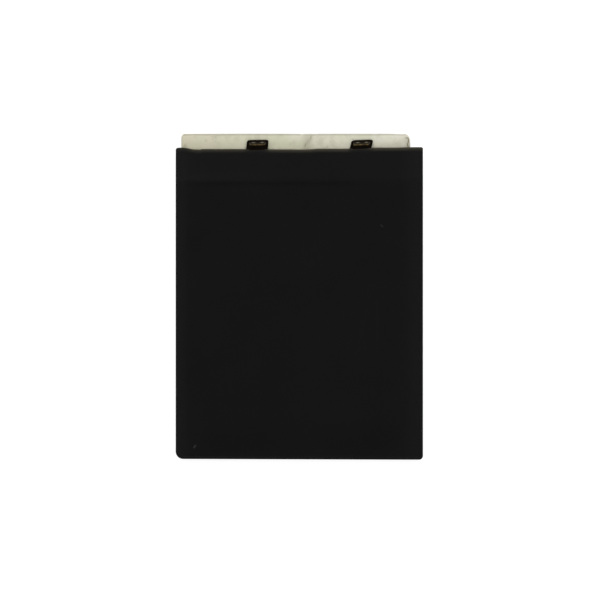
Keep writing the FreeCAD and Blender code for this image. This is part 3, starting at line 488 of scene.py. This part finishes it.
def film_rings(tab_x, lean, slant):
    """A flat closed loop carried round the hairpin: the upper leg, a half circle and the lower leg. Its
    thickness swells over the metal strip and closes at the side edges; the corners of the fold are
    quarter rounds in plan, and the sides lean. A groove with eased walls is pressed in above the strip.
    Gives the points, the share of a painted amber highlight along the groove's lower wall, and the share
    of painted grey glints along its upper wall and sides, with faint painted light on its floor."""
    bend = (upper_leg - lower_leg) / 2
    turn = np.linspace(np.pi / 2, -np.pi / 2, 33)
    upper = np.linspace(film_root, bend_start, 110)[:-1]
    lower = np.linspace(bend_start, film_end, 16)[1:]
    out = np.concatenate((upper, bend_start + bend * np.cos(turn), lower))[:, None]
    level = np.concatenate((
        np.full(upper.size, upper_leg),
        (upper_leg + lower_leg) / 2 + bend * np.sin(turn),
        np.full(lower.size, lower_leg),
    ))[:, None]
    facing = np.concatenate((
        np.full(upper.size, np.pi / 2), turn, np.full(lower.size, -np.pi / 2),
    ))[:, None]

    share = np.sin(np.linspace(-np.pi / 2, np.pi / 2, 97))
    outer = np.concatenate((np.ones(share.size), -np.ones(share.size - 2)))[None, :]
    share = np.concatenate((share, share[-2:0:-1]))[None, :]
    half = film_half_width - corner_inset(tab_reach - film_total / 2 - out, film_corner)
    across = share * half
    from_middle = np.abs(across)
    edge = np.clip((half - from_middle) / film_edge, 0.0, 1.0)
    swell = film_bare + (1.0 - film_bare) * ease((tab_half_width + 0.25 - from_middle) / 0.4)
    thick = film_total / 2 * swell * np.sqrt(1.0 - (1.0 - edge) ** 2)
    on_top = (outer > 0) * (facing > 0.6)
    groove_side = groove_half_width + groove_flare * (out - groove_from) - from_middle
    groove = ease((out - groove_from) / groove_wall) * ease((groove_to - out) / groove_wall)
    groove = groove * ease(groove_side / 0.2) * on_top
    # Painted highlights: amber on the groove's lower wall, grey glints on its upper wall and sides, faint
    # on its floor.
    painted_amber_highlight = hump((out - groove_from) / bright_line) * ease((2.0 - from_middle) / 0.2) * on_top
    sides = hump((groove_side + 0.1) / 0.13) * (out > groove_from) * (out < groove_to)
    pair = hump((across + 1.05) / 0.45) + hump((across - 1.12) / 0.4)
    glint = np.maximum(hump((out - groove_to) / bright_line) * pair, 0.3 * sides) * on_top
    glint = glint + 0.1 * groove
    offset = outer * thick - groove_depth * groove

    out = out + offset * np.cos(facing)
    z = level + offset * np.sin(facing)
    x = across + np.tan(np.radians(lean + slant)) * out
    turned = np.radians(slant)
    points = np.dstack((
        tab_x + x * np.cos(turned) - out * np.sin(turned),
        terrace_edge + x * np.sin(turned) + out * np.cos(turned),
        z,
    ))
    return points, painted_amber_highlight, glint


def carried_loop(name, rings):
    """A piece whose closed loops are joined ring to ring and closed by a face at each end."""
    count, around = rings.shape[:2]
    faces = quads(count, around, closed=True).tolist()
    faces.append(list(range(around - 1, -1, -1)))
    faces.append(list(range((count - 1) * around, count * around)))
    return new_piece(name, rings, faces)


# Sealing film: polypropylene, brown-black and half glossy from the heated jaws of the sealer. Along the
# groove a painted amber highlight, broken into dots, lies on one wall and painted grey glints on the
# other.
film, tree, place = new_material("dark_sealing_film")
mottle = add(tree, "ShaderNodeTexNoise", {"Vector": place, "Scale": per_mm(0.9), "Detail": 3.0})
broken = add(tree, "ShaderNodeTexNoise", {"Vector": place, "Scale": per_mm(0.5), "Detail": 2.0})
broken = add(
    tree, "ShaderNodeMapRange",
    {"Value": broken.outputs["Fac"], "From Min": 0.4, "From Max": 0.62, "To Min": 0.3, "To Max": 1.0},
)
painted_amber_highlight = add(tree, "ShaderNodeAttribute", attribute_name="painted_amber_highlight")
painted_amber_highlight = add(
    tree, "ShaderNodeMath", {0: painted_amber_highlight.outputs["Fac"], 1: broken.outputs["Result"]}, operation="MULTIPLY",
)
glint = add(tree, "ShaderNodeAttribute", attribute_name="glint")
colour = add(
    tree, "ShaderNodeMix",
    {0: mottle.outputs["Fac"], 6: linear("#070504"), 7: linear("#130e09")}, data_type="RGBA",
)
colour = add(
    tree, "ShaderNodeMix",
    {0: painted_amber_highlight.outputs[0], 6: colour.outputs[2], 7: linear("#7a6740")}, data_type="RGBA",
)
colour = add(
    tree, "ShaderNodeMix",
    {0: glint.outputs["Fac"], 6: colour.outputs[2], 7: linear("#7f7866")}, data_type="RGBA",
)
gloss = add(
    tree, "ShaderNodeMapRange",
    {"Value": mottle.outputs["Fac"], "From Min": 0.3, "From Max": 0.7, "To Min": 0.4, "To Max": 0.52},
)
shader = add(
    tree, "ShaderNodeBsdfPrincipled",
    {"Base Color": colour.outputs[2], "Roughness": gloss.outputs["Result"], "IOR": 1.49,
     "Specular IOR Level": 0.1, "Specular Tint": linear("#ffe2bd")},
)
add(tree, "ShaderNodeOutputMaterial", {"Surface": shader.outputs["BSDF"]})

for lead, tab_x, lean, slant in (
    ("positive", positive_tab_x, 5.6, 1.0), ("negative", negative_tab_x, 12.5, 1.7),
):
    points, painted_amber_highlight, glint = film_rings(tab_x, lean, slant)
    sheath = carried_loop(f"{lead}_lead_film", points)
    mark(sheath, "painted_amber_highlight", painted_amber_highlight)
    mark(sheath, "glint", np.clip(glint, 0.0, 1.0))
    sheath.data.materials.append(film)
    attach(sheath, "root")
    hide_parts(f"{lead}_tab_film")


def rolled_metal(name, dark, light, roughness):
    """A rolled metal strip: bright, with fine lines along its length in Y that vary its tone and gloss.
    The real lines are finer than 0.05 mm, so they are drawn at 0.15 mm to show at all."""
    metal, tree, place = new_material(name)
    drawn = add(tree, "ShaderNodeMapping", {"Vector": place, "Scale": (1.0, 0.06, 1.0)})
    lines = add(
        tree, "ShaderNodeTexNoise",
        {"Vector": drawn.outputs["Vector"], "Scale": per_mm(0.15), "Detail": 2.0},
    )
    tone = add(
        tree, "ShaderNodeMix",
        {0: lines.outputs["Fac"], 6: linear(dark), 7: linear(light)}, data_type="RGBA",
    )
    brushed = add(
        tree, "ShaderNodeMapRange",
        {"Value": lines.outputs["Fac"], "From Min": 0.3, "From Max": 0.7,
         "To Min": roughness - 0.06, "To Max": roughness + 0.06},
    )
    fine = add(
        tree, "ShaderNodeBump",
        {"Height": lines.outputs["Fac"], "Strength": 0.3, "Distance": 0.01 * MM},
    )
    shader = add(
        tree, "ShaderNodeBsdfPrincipled",
        {"Base Color": tone.outputs[2], "Metallic": 1.0, "Roughness": brushed.outputs["Result"],
         "Normal": fine.outputs["Normal"]},
    )
    add(tree, "ShaderNodeOutputMaterial", {"Surface": shader.outputs["BSDF"]})
    return metal


def dress(node, material):
    """Gives a CAD node's object one material."""
    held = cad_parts[node].data.materials
    held.clear()
    held.append(material)


# Soft aluminium, silver white and a little dull, and nickel plate, warmer and brighter.
dress("positive_tab", rolled_metal("rolled_aluminium", "#b9bcc0", "#d6d8da", 0.38))
dress("negative_tab", rolled_metal("nickel_plated_copper", "#b3ad9f", "#cfc9bb", 0.28))


# The protection board: a glass-epoxy board under green solder mask, with copper tracks that show through
# the mask, gilt contacts on its underside, and two bent nickel links soldered on for the leads.

board_low, board_high = np.array(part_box("protection_board")) / MM
mask_thickness = 0.06

mask, tree, place = new_material("green_solder_mask")
parts = add(tree, "ShaderNodeSeparateXYZ", {"Vector": place})
# Tracks 0.5 mm wide run along the board and wander a little; the mask is lighter over them.
tracks = add(
    tree, "ShaderNodeTexWave",
    {"Vector": place, "Scale": per_mm(1.1) / 20.0, "Distortion": 3.0, "Detail": 1.0},
    bands_direction="Y",
)
over_copper = add(
    tree, "ShaderNodeMapRange",
    {"Value": tracks.outputs["Fac"], "From Min": 0.45, "From Max": 0.55, "To Min": 0.0, "To Max": 1.0},
)
green = add(
    tree, "ShaderNodeMix",
    {0: over_copper.outputs["Result"], 6: linear("#0d3a25"), 7: linear("#17573a")}, data_type="RGBA",
)
middle = (board_low[2] + board_high[2]) / 2
from_middle = add(tree, "ShaderNodeMath", {0: parts.outputs["Z"], 1: middle * MM}, operation="SUBTRACT")
from_middle = add(tree, "ShaderNodeMath", {0: from_middle.outputs[0]}, operation="ABSOLUTE")
faced = add(
    tree, "ShaderNodeMath",
    {0: from_middle.outputs[0], 1: ((board_high[2] - board_low[2]) / 2 - mask_thickness) * MM},
    operation="GREATER_THAN",
)
weave = add(tree, "ShaderNodeTexNoise", {"Vector": place, "Scale": per_mm(0.3), "Detail": 2.0})
core = add(
    tree, "ShaderNodeMix",
    {0: weave.outputs["Fac"], 6: linear("#8d8455"), 7: linear("#b5ac7c")}, data_type="RGBA",
)
colour = add(
    tree, "ShaderNodeMix",
    {0: faced.outputs[0], 6: core.outputs[2], 7: green.outputs[2]}, data_type="RGBA",
)
raised = add(
    tree, "ShaderNodeBump",
    {"Height": over_copper.outputs["Result"], "Strength": 0.5, "Distance": 0.03 * MM},
)
shader = add(
    tree, "ShaderNodeBsdfPrincipled",
    {"Base Color": colour.outputs[2], "Roughness": 0.36, "IOR": 1.52,
     "Normal": raised.outputs["Normal"]},
)
add(tree, "ShaderNodeOutputMaterial", {"Surface": shader.outputs["BSDF"]})
dress("protection_board", mask)

nickel = rolled_metal("nickel_strip", "#a9a497", "#c6c1b3", 0.32)
dress("positive_link", nickel)
dress("negative_link", nickel)

# Gold over nickel over copper: flat, bright and yellow, with fine rub marks from the mating springs.
gilt = rolled_metal("gilt_contact", "#d3a850", "#e0b962", 0.2)
for node in ("positive_output_pad", "sense_output_pad", "negative_output_pad"):
    dress(node, gilt)


# The parts soldered on the board: a switching transistor and a control chip moulded in black epoxy, and
# small ceramic capacitors, a thermistor and resistors with tinned end caps.

chip_cap = 0.3
chip_coat = 0.08


def capped_chip(name, node, caps_along, cap_length, body, top):
    """A chip with tinned metal past a distance from its middle, along X or Y, and between the ends a
    fired body whose top coat differs from its sides."""
    low, high = np.array(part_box(node))
    axis = "XY".index(caps_along)
    material, tree, place = new_material(name)
    parts = add(tree, "ShaderNodeSeparateXYZ", {"Vector": place})
    from_middle = add(
        tree, "ShaderNodeMath",
        {0: parts.outputs[axis], 1: (low[axis] + high[axis]) / 2}, operation="SUBTRACT",
    )
    from_middle = add(tree, "ShaderNodeMath", {0: from_middle.outputs[0]}, operation="ABSOLUTE")
    tinned = add(
        tree, "ShaderNodeMath",
        {0: from_middle.outputs[0], 1: (high[axis] - low[axis]) / 2 - cap_length * MM},
        operation="GREATER_THAN",
    )
    coated = add(
        tree, "ShaderNodeMath",
        {0: parts.outputs["Z"], 1: high[2] - chip_coat * MM}, operation="GREATER_THAN",
    )
    fired = add(tree, "ShaderNodeTexNoise", {"Vector": place, "Scale": per_mm(0.12), "Detail": 2.0})
    colour = add(
        tree, "ShaderNodeMix",
        {0: coated.outputs[0], 6: linear(body), 7: linear(top)}, data_type="RGBA",
    )
    colour = add(
        tree, "ShaderNodeMix",
        {0: tinned.outputs[0], 6: colour.outputs[2], 7: linear("#c4c5c4")}, data_type="RGBA",
    )
    rough = add(
        tree, "ShaderNodeMapRange",
        {"Value": fired.outputs["Fac"], "From Min": 0.3, "From Max": 0.7, "To Min": 0.34, "To Max": 0.5},
    )
    grit = add(
        tree, "ShaderNodeBump",
        {"Height": fired.outputs["Fac"], "Strength": 0.3, "Distance": 0.01 * MM},
    )
    shader = add(
        tree, "ShaderNodeBsdfPrincipled",
        {"Base Color": colour.outputs[2], "Metallic": tinned.outputs[0],
         "Roughness": rough.outputs["Result"], "Normal": grit.outputs["Normal"]},
    )
    add(tree, "ShaderNodeOutputMaterial", {"Surface": shader.outputs["BSDF"]})
    dress(node, material)


capped_chip("moulded_epoxy_switch", "switch_mosfet", "Y", 0.05, "#1b1b1d", "#161618")
capped_chip("moulded_epoxy_control", "protection_ic", "Y", 0.6, "#1b1b1d", "#161618")
capped_chip("thick_film_sense_resistor", "sense_resistor", "X", chip_cap, "#d9d6cc", "#1a1a1a")
for node in ("series_resistor_1", "series_resistor_2"):
    capped_chip(f"thick_film_{node}", node, "X", chip_cap, "#d9d6cc", "#1a1a1a")
for node in ("filter_capacitor_1", "filter_capacitor_2"):
    capped_chip(f"fired_ceramic_{node}", node, "X", chip_cap, "#8b6a45", "#8b6a45")
capped_chip("fired_ceramic_thermistor", "thermistor", "X", chip_cap, "#30302e", "#3a3a36")


# The insulating tape: an ivory film folded round the protection board, open towards the cell. It is cut
# away over the two welds and under the contacts, and it is creased where it was pressed round the end.

tape_low, tape_high = np.array(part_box("header_tape")) / MM
tape_left, tape_inner, tape_under = tape_low
tape_right, tape_outer, tape_top = tape_high
tape_thickness = 0.12
tape_fold = 0.4
tape_stop = tape_right - 0.08
tape_left_corner = 0.9
tape_right_corner = 1.35
tape_right_depth = 1.5
tape_wave = 0.02
crease_depth = 0.05
notch_front = terrace_edge - 0.3
notch_half_width = 2.55
notches = [(tab - notch_half_width, tab + notch_half_width) for tab in (positive_tab_x, negative_tab_x)]
window_margin = 0.5
pads_low = np.array(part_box("positive_output_pad")[0]) / MM
pads_high = np.array(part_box("negative_output_pad")[1]) / MM
window_left, window_inner = pads_low[:2] - window_margin
window_right, window_outer = pads_high[:2] + window_margin
window_radius = 0.6


def tape_grid():
    """A sheet on a grid of X and of the way round the board: under it from the open side, up round the
    folded outer edge in two quarter rounds, and back over it. The ends are quarter rounds in plan, the
    right one stretched, the folded edge runs a little uneven, and grid lines follow the edges of the
    notches and of the window. Gives X, Y and Z, and how many columns are over or under the board."""
    turn = np.linspace(0.0, np.pi / 2, 10)
    left_end = tape_left + tape_fold * (1.0 - np.cos(turn))
    right_end = tape_stop - tape_fold * (1.0 - np.cos(turn))
    middle = np.linspace(tape_left + tape_fold, tape_stop - tape_fold, 280)
    cuts = (*np.ravel(notches), window_left, window_right)
    creased = (np.linspace(0.9, 3.5, 40), np.linspace(tape_stop - 2.2, tape_stop - tape_fold, 40))
    stations = np.concatenate((left_end, middle, right_end, *creased, cuts))
    stations = np.unique(stations.round(5))[:, None]
    from_left, from_right = stations - tape_left, tape_stop - stations
    drop = np.maximum(corner_inset(from_left, tape_fold), corner_inset(from_right, tape_fold))
    uneven = 0.04 * hump(from_left / 8.0) + 0.03 * hump((stations - 0.5) / 4.0)
    uneven = uneven + 0.12 * hump((from_right - 2.0) / 2.0)
    right_inset = tape_right_depth * corner_inset(from_right, tape_right_corner)
    inset = np.maximum(corner_inset(from_left, tape_left_corner), right_inset)
    outer = tape_outer - uneven - inset
    flat = np.linspace(tape_inner, tape_outer - tape_fold, 44)
    flat = np.unique(np.concatenate((flat, (notch_front, window_inner, window_outer))).round(5))[None, :]
    fold_line = tape_outer - tape_fold
    flat_y = flat - inset * ease((flat - notch_front) / (fold_line - notch_front))
    flat_y = flat_y - uneven * ease((flat - window_outer) / (fold_line - window_outer))
    turn = turn[None, 1:-1]
    low, high = tape_under + drop, tape_top - drop
    level = np.zeros_like(flat_y)
    y = np.hstack((
        flat_y, outer - tape_fold * (1.0 - np.sin(turn)), outer, outer,
        outer - tape_fold * (1.0 - np.cos(turn)), flat_y[:, ::-1],
    ))
    z = np.hstack((
        low + level, low + tape_fold * (1.0 - np.cos(turn)), low + tape_fold, high - tape_fold,
        high - tape_fold * (1.0 - np.sin(turn)), high + level,
    ))
    return stations + np.zeros_like(y), y, z, flat.size


def rounded_window(x, y):
    """X and Y with the points on the window's edges near its corners moved onto a quarter round: the
    edge's share of the way from the tangent point to the corner gives the angle, up to 45 degrees."""
    for corner_x, into_x in ((window_left, 1.0), (window_right, -1.0)):
        for corner_y, into_y in ((window_inner, 1.0), (window_outer, -1.0)):
            along_x, along_y = (x - corner_x) * into_x, (y - corner_y) * into_y
            upright = (np.abs(along_x) < 1e-4) & (along_y > -1e-4) & (along_y < window_radius)
            level = (np.abs(along_y) < 1e-4) & (along_x > -1e-4) & (along_x < window_radius)
            angle = np.pi / 4 * (1.0 - np.where(upright, along_y, along_x) / window_radius)
            near, far = window_radius * (1.0 - np.cos(angle)), window_radius * (1.0 - np.sin(angle))
            x = np.where(upright, corner_x + into_x * near, np.where(level, corner_x + into_x * far, x))
            y = np.where(upright, corner_y + into_y * far, np.where(level, corner_y + into_y * near, y))
    return x, y


def tape_creases(x, y):
    """Sharp creases in the tape, 1 at full depth: bells across two slanting strokes right of the middle,
    with a soft smear between them, and deeper across a bowed line and a short stroke at the right end."""
    width, end_strength, smear_strength = 0.13, 1.5, 0.35
    down, from_end = tape_outer - y, tape_right - x
    upper = hump(((x - 2.87) * 0.95 + (down - 1.05) * 0.31) / width) * hump((down - 1.0) / 0.75)
    lower = hump(((x - 1.5) * 0.95 + (down - 2.85) * 0.31) / width) * hump((down - 2.85) / 0.5)
    smear = hump(((x - 2.24) * 0.8 + (down - 1.95) * 0.59) / 0.5) * hump((down - 1.95) / 1.1)
    bow = 0.54 + 0.25 * hump((down - 2.75) / 0.5)
    bowed = hump((from_end - bow) / width) * ease((down - 1.0) / 0.4)
    stroke = hump((down - 1.1) / 0.16) * hump((from_end - 0.88) / 0.48)
    at_end = end_strength * np.maximum(bowed, stroke)
    return np.maximum(np.maximum(upper, lower), np.maximum(smear_strength * smear, at_end))


def tape_spots(x, y):
    """A few small spots of dirt, 1 at their middles: round bells in the left half, each with its X, its
    distance from the folded edge and its size."""
    spots = (
        (-21.76, 0.74, 0.2), (-21.01, 0.9, 0.26), (-21.76, 1.37, 0.2), (-23.4, 1.74, 0.26),
        (-28.65, 3.0, 0.4),
    )
    from_fold = tape_outer - y
    return sum(hump((x - at) / size) * hump((from_fold - down) / size) for at, down, size in spots)


def tape_piece():
    """The sheet with its cells left out at the notches and the window, and with a wall at each end. Long
    waves and the creases press its top in, and each point keeps its painted shade with grime, and its
    painted shade along the fold."""
    x, y, z, flat_count = tape_grid()
    rows, columns = x.shape
    over = (np.arange(columns) >= columns - flat_count)[None, :]
    inside = ease((x - tape_left) / 0.4) * ease((tape_right - x) / 0.4)
    creases = tape_creases(x, y) * over * inside
    waves = 0.5 + 0.5 * np.sin(0.55 * x + 0.9 * np.sin(0.23 * x))
    z = z - tape_wave * over * inside * waves - crease_depth * creases
    cells = quads(rows, columns, closed=False)
    middle_x = (x[:-1, :-1] + x[1:, :-1]).ravel() / 2
    middle_y = (y[:-1, :-1] + y[:-1, 1:]).ravel() / 2
    top_cell = np.tile(np.arange(columns - 1) >= columns - flat_count, rows - 1)
    under_cell = np.tile(np.arange(columns - 1) < flat_count - 1, rows - 1)
    notched = sum((middle_x > a) & (middle_x < b) for a, b in notches) > 0
    windowed = (middle_x > window_left) & (middle_x < window_right)
    windowed &= (middle_y > window_inner) & (middle_y < window_outer)
    cut = (top_cell & notched & (middle_y < notch_front)) | (under_cell & windowed)
    faces = cells[~cut].tolist()
    faces.append(list(range(columns - 1, -1, -1)))
    faces.append(list(range((rows - 1) * columns, rows * columns)))
    # Painted shade along the folded outer edge, left off on top near X 0.65.
    fold_shade_gap = 0.7 * hump((x - 0.65) / 0.45) * ease((z - tape_top + 0.5) / 0.3)
    folded = 0.5 * ease((y - tape_outer + 0.75) / 0.75) * (1.0 - fold_shade_gap)
    # Painted shade towards the terrace and in the creases, darker around them, and real spots of dirt.
    shade_by_terrace = (0.23 + 0.09 * ease((x - 5.0) / 18.0)) * over * ease((tape_outer - y - 0.4) / 2.8)
    darker_around_creases = 0.24 * hump((x - 2.0) / 1.2) + 0.18 * hump((tape_right - x - 0.7) / 0.7)
    shade_and_grime = shade_by_terrace + over * inside * darker_around_creases + 0.5 * creases + 0.3 * over * tape_spots(x, y)
    under = (np.arange(columns) < flat_count)[None, :]
    rounded_x, rounded_y = rounded_window(x, y)
    x, y = np.where(under, rounded_x, x), np.where(under, rounded_y, y)
    piece = new_piece("header_wrap", np.dstack((x, y, z)), faces)
    mark(piece, "painted_shade_and_grime", np.clip(shade_and_grime, 0.0, 1.0))
    mark(piece, "folded", folded)
    return piece


# Ivory insulating tape: a matt paper-like film, yellowed, with patches that lean to green and to pink,
# fine fibres along it, small dark specks and spots of dirt, and a painted shade towards the terrace, in
# and around its creases and along its fold.
ivory, tree, place = new_material("ivory_insulating_tape")
parts = add(tree, "ShaderNodeSeparateXYZ", {"Vector": place})
patches = add(tree, "ShaderNodeTexNoise", {"Vector": place, "Scale": per_mm(6.0), "Detail": 3.0})
blotches = add(tree, "ShaderNodeTexNoise", {"Vector": place, "Scale": per_mm(2.2), "Detail": 4.0})
specks = add(tree, "ShaderNodeTexNoise", {"Vector": place, "Scale": per_mm(0.55), "Detail": 1.0})
drawn = add(tree, "ShaderNodeMapping", {"Vector": place, "Scale": (0.25, 1.0, 1.0)})
fibres = add(
    tree, "ShaderNodeTexNoise", {"Vector": drawn.outputs["Vector"], "Scale": per_mm(0.5), "Detail": 3.0},
)
rightwards = add(
    tree, "ShaderNodeMapRange",
    {"Value": parts.outputs["X"], "From Min": tape_left * MM, "From Max": tape_right * MM,
     "To Min": 0.0, "To Max": 1.0},
)
colour = add(
    tree, "ShaderNodeMix",
    {0: rightwards.outputs["Result"], 6: linear("#d8d4bb"), 7: linear("#e8e6d6")}, data_type="RGBA",
)
# The greener and the pinker patches, the stains and the specks: a pattern, where in it the tone starts and
# where it is at its full strength, that strength, and the tone.
for pattern, start, end, strength, tone in (
    (patches, 0.5, 0.65, 0.5, "#cfd2b2"),
    (patches, 0.46, 0.34, 0.2, "#ddd0bf"),
    (blotches, 0.5, 0.75, 0.4, "#b7b299"),
    (specks, 0.72, 0.78, 0.4, "#8a866d"),
):
    share = add(
        tree, "ShaderNodeMapRange",
        {"Value": pattern.outputs["Fac"], "From Min": start, "From Max": end,
         "To Min": 0.0, "To Max": strength},
    )
    colour = add(
        tree, "ShaderNodeMix",
        {0: share.outputs["Result"], 6: colour.outputs[2], 7: linear(tone)}, data_type="RGBA",
    )
# The painted shade with grime, and the painted shade along the fold:
for painted_light_and_wear, tone in (("painted_shade_and_grime", "#7c7456"), ("folded", "#7b7969")):
    share = add(tree, "ShaderNodeAttribute", attribute_name=painted_light_and_wear)
    colour = add(
        tree, "ShaderNodeMix",
        {0: share.outputs["Fac"], 6: colour.outputs[2], 7: linear(tone)}, data_type="RGBA",
    )
paper = add(
    tree, "ShaderNodeBump",
    {"Height": fibres.outputs["Fac"], "Strength": 0.4, "Distance": 0.03 * MM},
)
shader = add(
    tree, "ShaderNodeBsdfPrincipled",
    {"Base Color": colour.outputs[2], "Roughness": 0.62, "IOR": 1.47, "Normal": paper.outputs["Normal"]},
)
add(tree, "ShaderNodeOutputMaterial", {"Surface": shader.outputs["BSDF"]})

wrap = tape_piece()
wall = wrap.modifiers.new("tape_thickness", "SOLIDIFY")
wall.thickness = tape_thickness * MM
wall.offset = -1.0
wrap.data.materials.append(ivory)
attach(wrap, "root")
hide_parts("header_tape")


# The foam strip: double-sided polyethylene foam that sticks the taped board under the terrace. It is cut
# from sheet, notched round the two leads, and bulges a little where it is squeezed.

foam_low, foam_high = np.array(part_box("foam_strip")) / MM
link_setback = 2.7
link_clearance = 0.35
foam_waist = terrace_edge - link_setback - link_clearance
film_clearance = 0.5
foam_notch = film_half_width + film_clearance
foam_bulge = 0.1


def foam_rings():
    """A closed loop carried along X: flat under and over, with half-sine bulges on its two sides. Its
    outer side steps in to the waist between the edges of each notch."""
    edges = [tab + side * foam_notch for tab in (positive_tab_x, negative_tab_x) for side in (-1.0, 1.0)]
    beside = np.ravel([(edge - 0.01, edge + 0.01) for edge in edges])
    stations = np.unique(np.concatenate((np.linspace(foam_low[0], foam_high[0], 90), beside)))[:, None]
    notched = (stations > edges[0]) & (stations < edges[1])
    notched |= (stations > edges[2]) & (stations < edges[3])
    inner = foam_low[1] + foam_bulge
    outer = np.where(notched, foam_waist, foam_high[1]) - foam_bulge
    flat = np.linspace(0.0, 1.0, 12)[None, :]
    bulge = foam_bulge * np.sin(np.pi * flat[:, 1:-1])
    up = between(foam_low[2], foam_high[2], flat[:, 1:-1])
    y = np.hstack((
        between(inner, outer, flat), outer + bulge,
        between(outer, inner, flat), inner - bulge + np.zeros_like(outer),
    ))
    z = np.hstack((np.full_like(flat, foam_low[2]), up, np.full_like(flat, foam_high[2]), up[:, ::-1]))
    return np.dstack((stations + np.zeros_like(y), y, z + np.zeros_like(y)))


# Closed-cell foam: charcoal, matt, with cells a quarter of a millimetre across open on its cut sides. Each
# cell is painted darker towards its middle, a painted shade in its hollow.
cells, tree, place = new_material("charcoal_foam")
bubbles = add(tree, "ShaderNodeTexVoronoi", {"Vector": place, "Scale": per_mm(0.25)})
colour = add(
    tree, "ShaderNodeMix",
    {0: bubbles.outputs["Distance"], 6: linear("#1c1c1d"), 7: linear("#3a3a3b")}, data_type="RGBA",
)
open_cells = add(
    tree, "ShaderNodeBump",
    {"Height": bubbles.outputs["Distance"], "Strength": 0.6, "Distance": 0.08 * MM},
)
shader = add(
    tree, "ShaderNodeBsdfPrincipled",
    {"Base Color": colour.outputs[2], "Roughness": 0.85, "IOR": 1.5,
     "Normal": open_cells.outputs["Normal"]},
)
add(tree, "ShaderNodeOutputMaterial", {"Surface": shader.outputs["BSDF"]})

foam = carried_loop("foam_pad", foam_rings())
foam.data.materials.append(cells)
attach(foam, "root")
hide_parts("foam_strip")


# The stage: a pale floor that curves up into a low wall all round, lit by soft boxes on four sides. Two
# fill lamps light matt surfaces only, so that the black face doesn't mirror them. To the camera and in
# reflections the floor is white, with the object's shadow left on it.

floor_radius = 3.6
floor_sweep = 0.4
wall_top = 0.6
around = np.linspace(0.0, 2.0 * np.pi, 97)[None, :-1]
sweep = np.linspace(0.0, np.pi / 2, 13)[1:]
level = np.linspace(0.02, floor_radius, 25)
wall_radius = floor_radius + floor_sweep
radius = np.concatenate((level, floor_radius + floor_sweep * np.sin(sweep), (wall_radius,)))[:, None]
height = np.concatenate((np.zeros_like(level), floor_sweep * (1.0 - np.cos(sweep)), (wall_top,)))[:, None]
cove = np.dstack((radius * np.cos(around), radius * np.sin(around), height + np.zeros_like(around)))
rows, columns = cove.shape[:2]
faces = quads(rows, columns, closed=True)[:, ::-1].tolist()
faces.append(list(range(columns)))
floor = new_piece("studio_floor", cove / MM, faces)

paint, tree, place = new_material("white_studio_paint")
ray = add(tree, "ShaderNodeLightPath")
looked = add(
    tree, "ShaderNodeMath",
    {0: ray.outputs["Is Camera Ray"], 1: ray.outputs["Is Glossy Ray"]}, operation="MAXIMUM",
)
looked = add(
    tree, "ShaderNodeMath",
    {0: looked.outputs[0], 1: ray.outputs["Is Transmission Ray"]}, operation="MAXIMUM",
)
matt = add(tree, "ShaderNodeBsdfDiffuse", {"Color": linear("#e6e6e6")})
shadowed = add(tree, "ShaderNodeBsdfDiffuse", {"Color": linear("#9a9a9a")})
glow = add(tree, "ShaderNodeEmission", {"Color": linear("#ffffff"), "Strength": 0.86})
white = add(tree, "ShaderNodeAddShader", {0: shadowed.outputs[0], 1: glow.outputs[0]})
seen = add(tree, "ShaderNodeMixShader", {0: looked.outputs[0], 1: matt.outputs[0], 2: white.outputs[0]})
add(tree, "ShaderNodeOutputMaterial", {"Surface": seen.outputs[0]})
floor.data.materials.append(paint)

world = bpy.data.worlds.new("dim_studio")
world.use_nodes = True
world.node_tree.nodes["Background"].inputs["Color"].default_value = linear("#ffffff")
world.node_tree.nodes["Background"].inputs["Strength"].default_value = 0.01
bpy.context.scene.world = world

# Each lamp: its power in watts, its compass direction and its lift in degrees, its height in metres, and
# whether glossy surfaces mirror it.
lamp_distance = 0.7
lamp_width = 0.8
for name, power, direction, lift, height, mirrored in (
    ("soft_box_top", 0.48, 90.0, 35.0, 0.3, True),
    ("soft_box_bottom", 0.22, 270.0, 35.0, 0.3, True),
    ("soft_box_left", 0.22, 180.0, 35.0, 0.3, True),
    ("soft_box_right", 0.22, 0.0, 35.0, 0.3, True),
    ("fill_top", 2.75, 90.0, 38.0, 0.3, False),
    ("fill_overhead", 3.4, 90.0, 90.0, 0.8, False),
):
    lamp = bpy.data.lights.new(name, "AREA")
    lamp.shape = "RECTANGLE"
    lamp.size = lamp_width
    lamp.size_y = height
    lamp.energy = power
    box = bpy.data.objects.new(name, lamp)
    turned, lifted = np.radians(direction), np.radians(lift)
    box.location = (
        lamp_distance * np.cos(lifted) * np.cos(turned),
        lamp_distance * np.cos(lifted) * np.sin(turned),
        lamp_distance * np.sin(lifted),
    )
    box.rotation_euler = (np.pi / 2 - lifted, 0.0, turned + np.pi / 2)
    box.visible_camera = False
    box.visible_glossy = mirrored
    bpy.context.scene.collection.objects.link(box)

# The camera looks straight down through a long lens, at the point and with the width, in millimetres on
# the front face, that fill the photograph's frame.
view_x, view_y, view_width = 0.17, -0.835, 150.39
lens = bpy.data.cameras.new("long_lens")
lens.sensor_width = 36.0
lens.lens = 600.0
camera = bpy.data.objects.new("camera", lens)
view_height = view_width * lens.lens / lens.sensor_width + cell_front
camera.location = (view_x * MM, view_y * MM, view_height * MM)
bpy.context.scene.collection.objects.link(camera)
bpy.context.scene.camera = camera
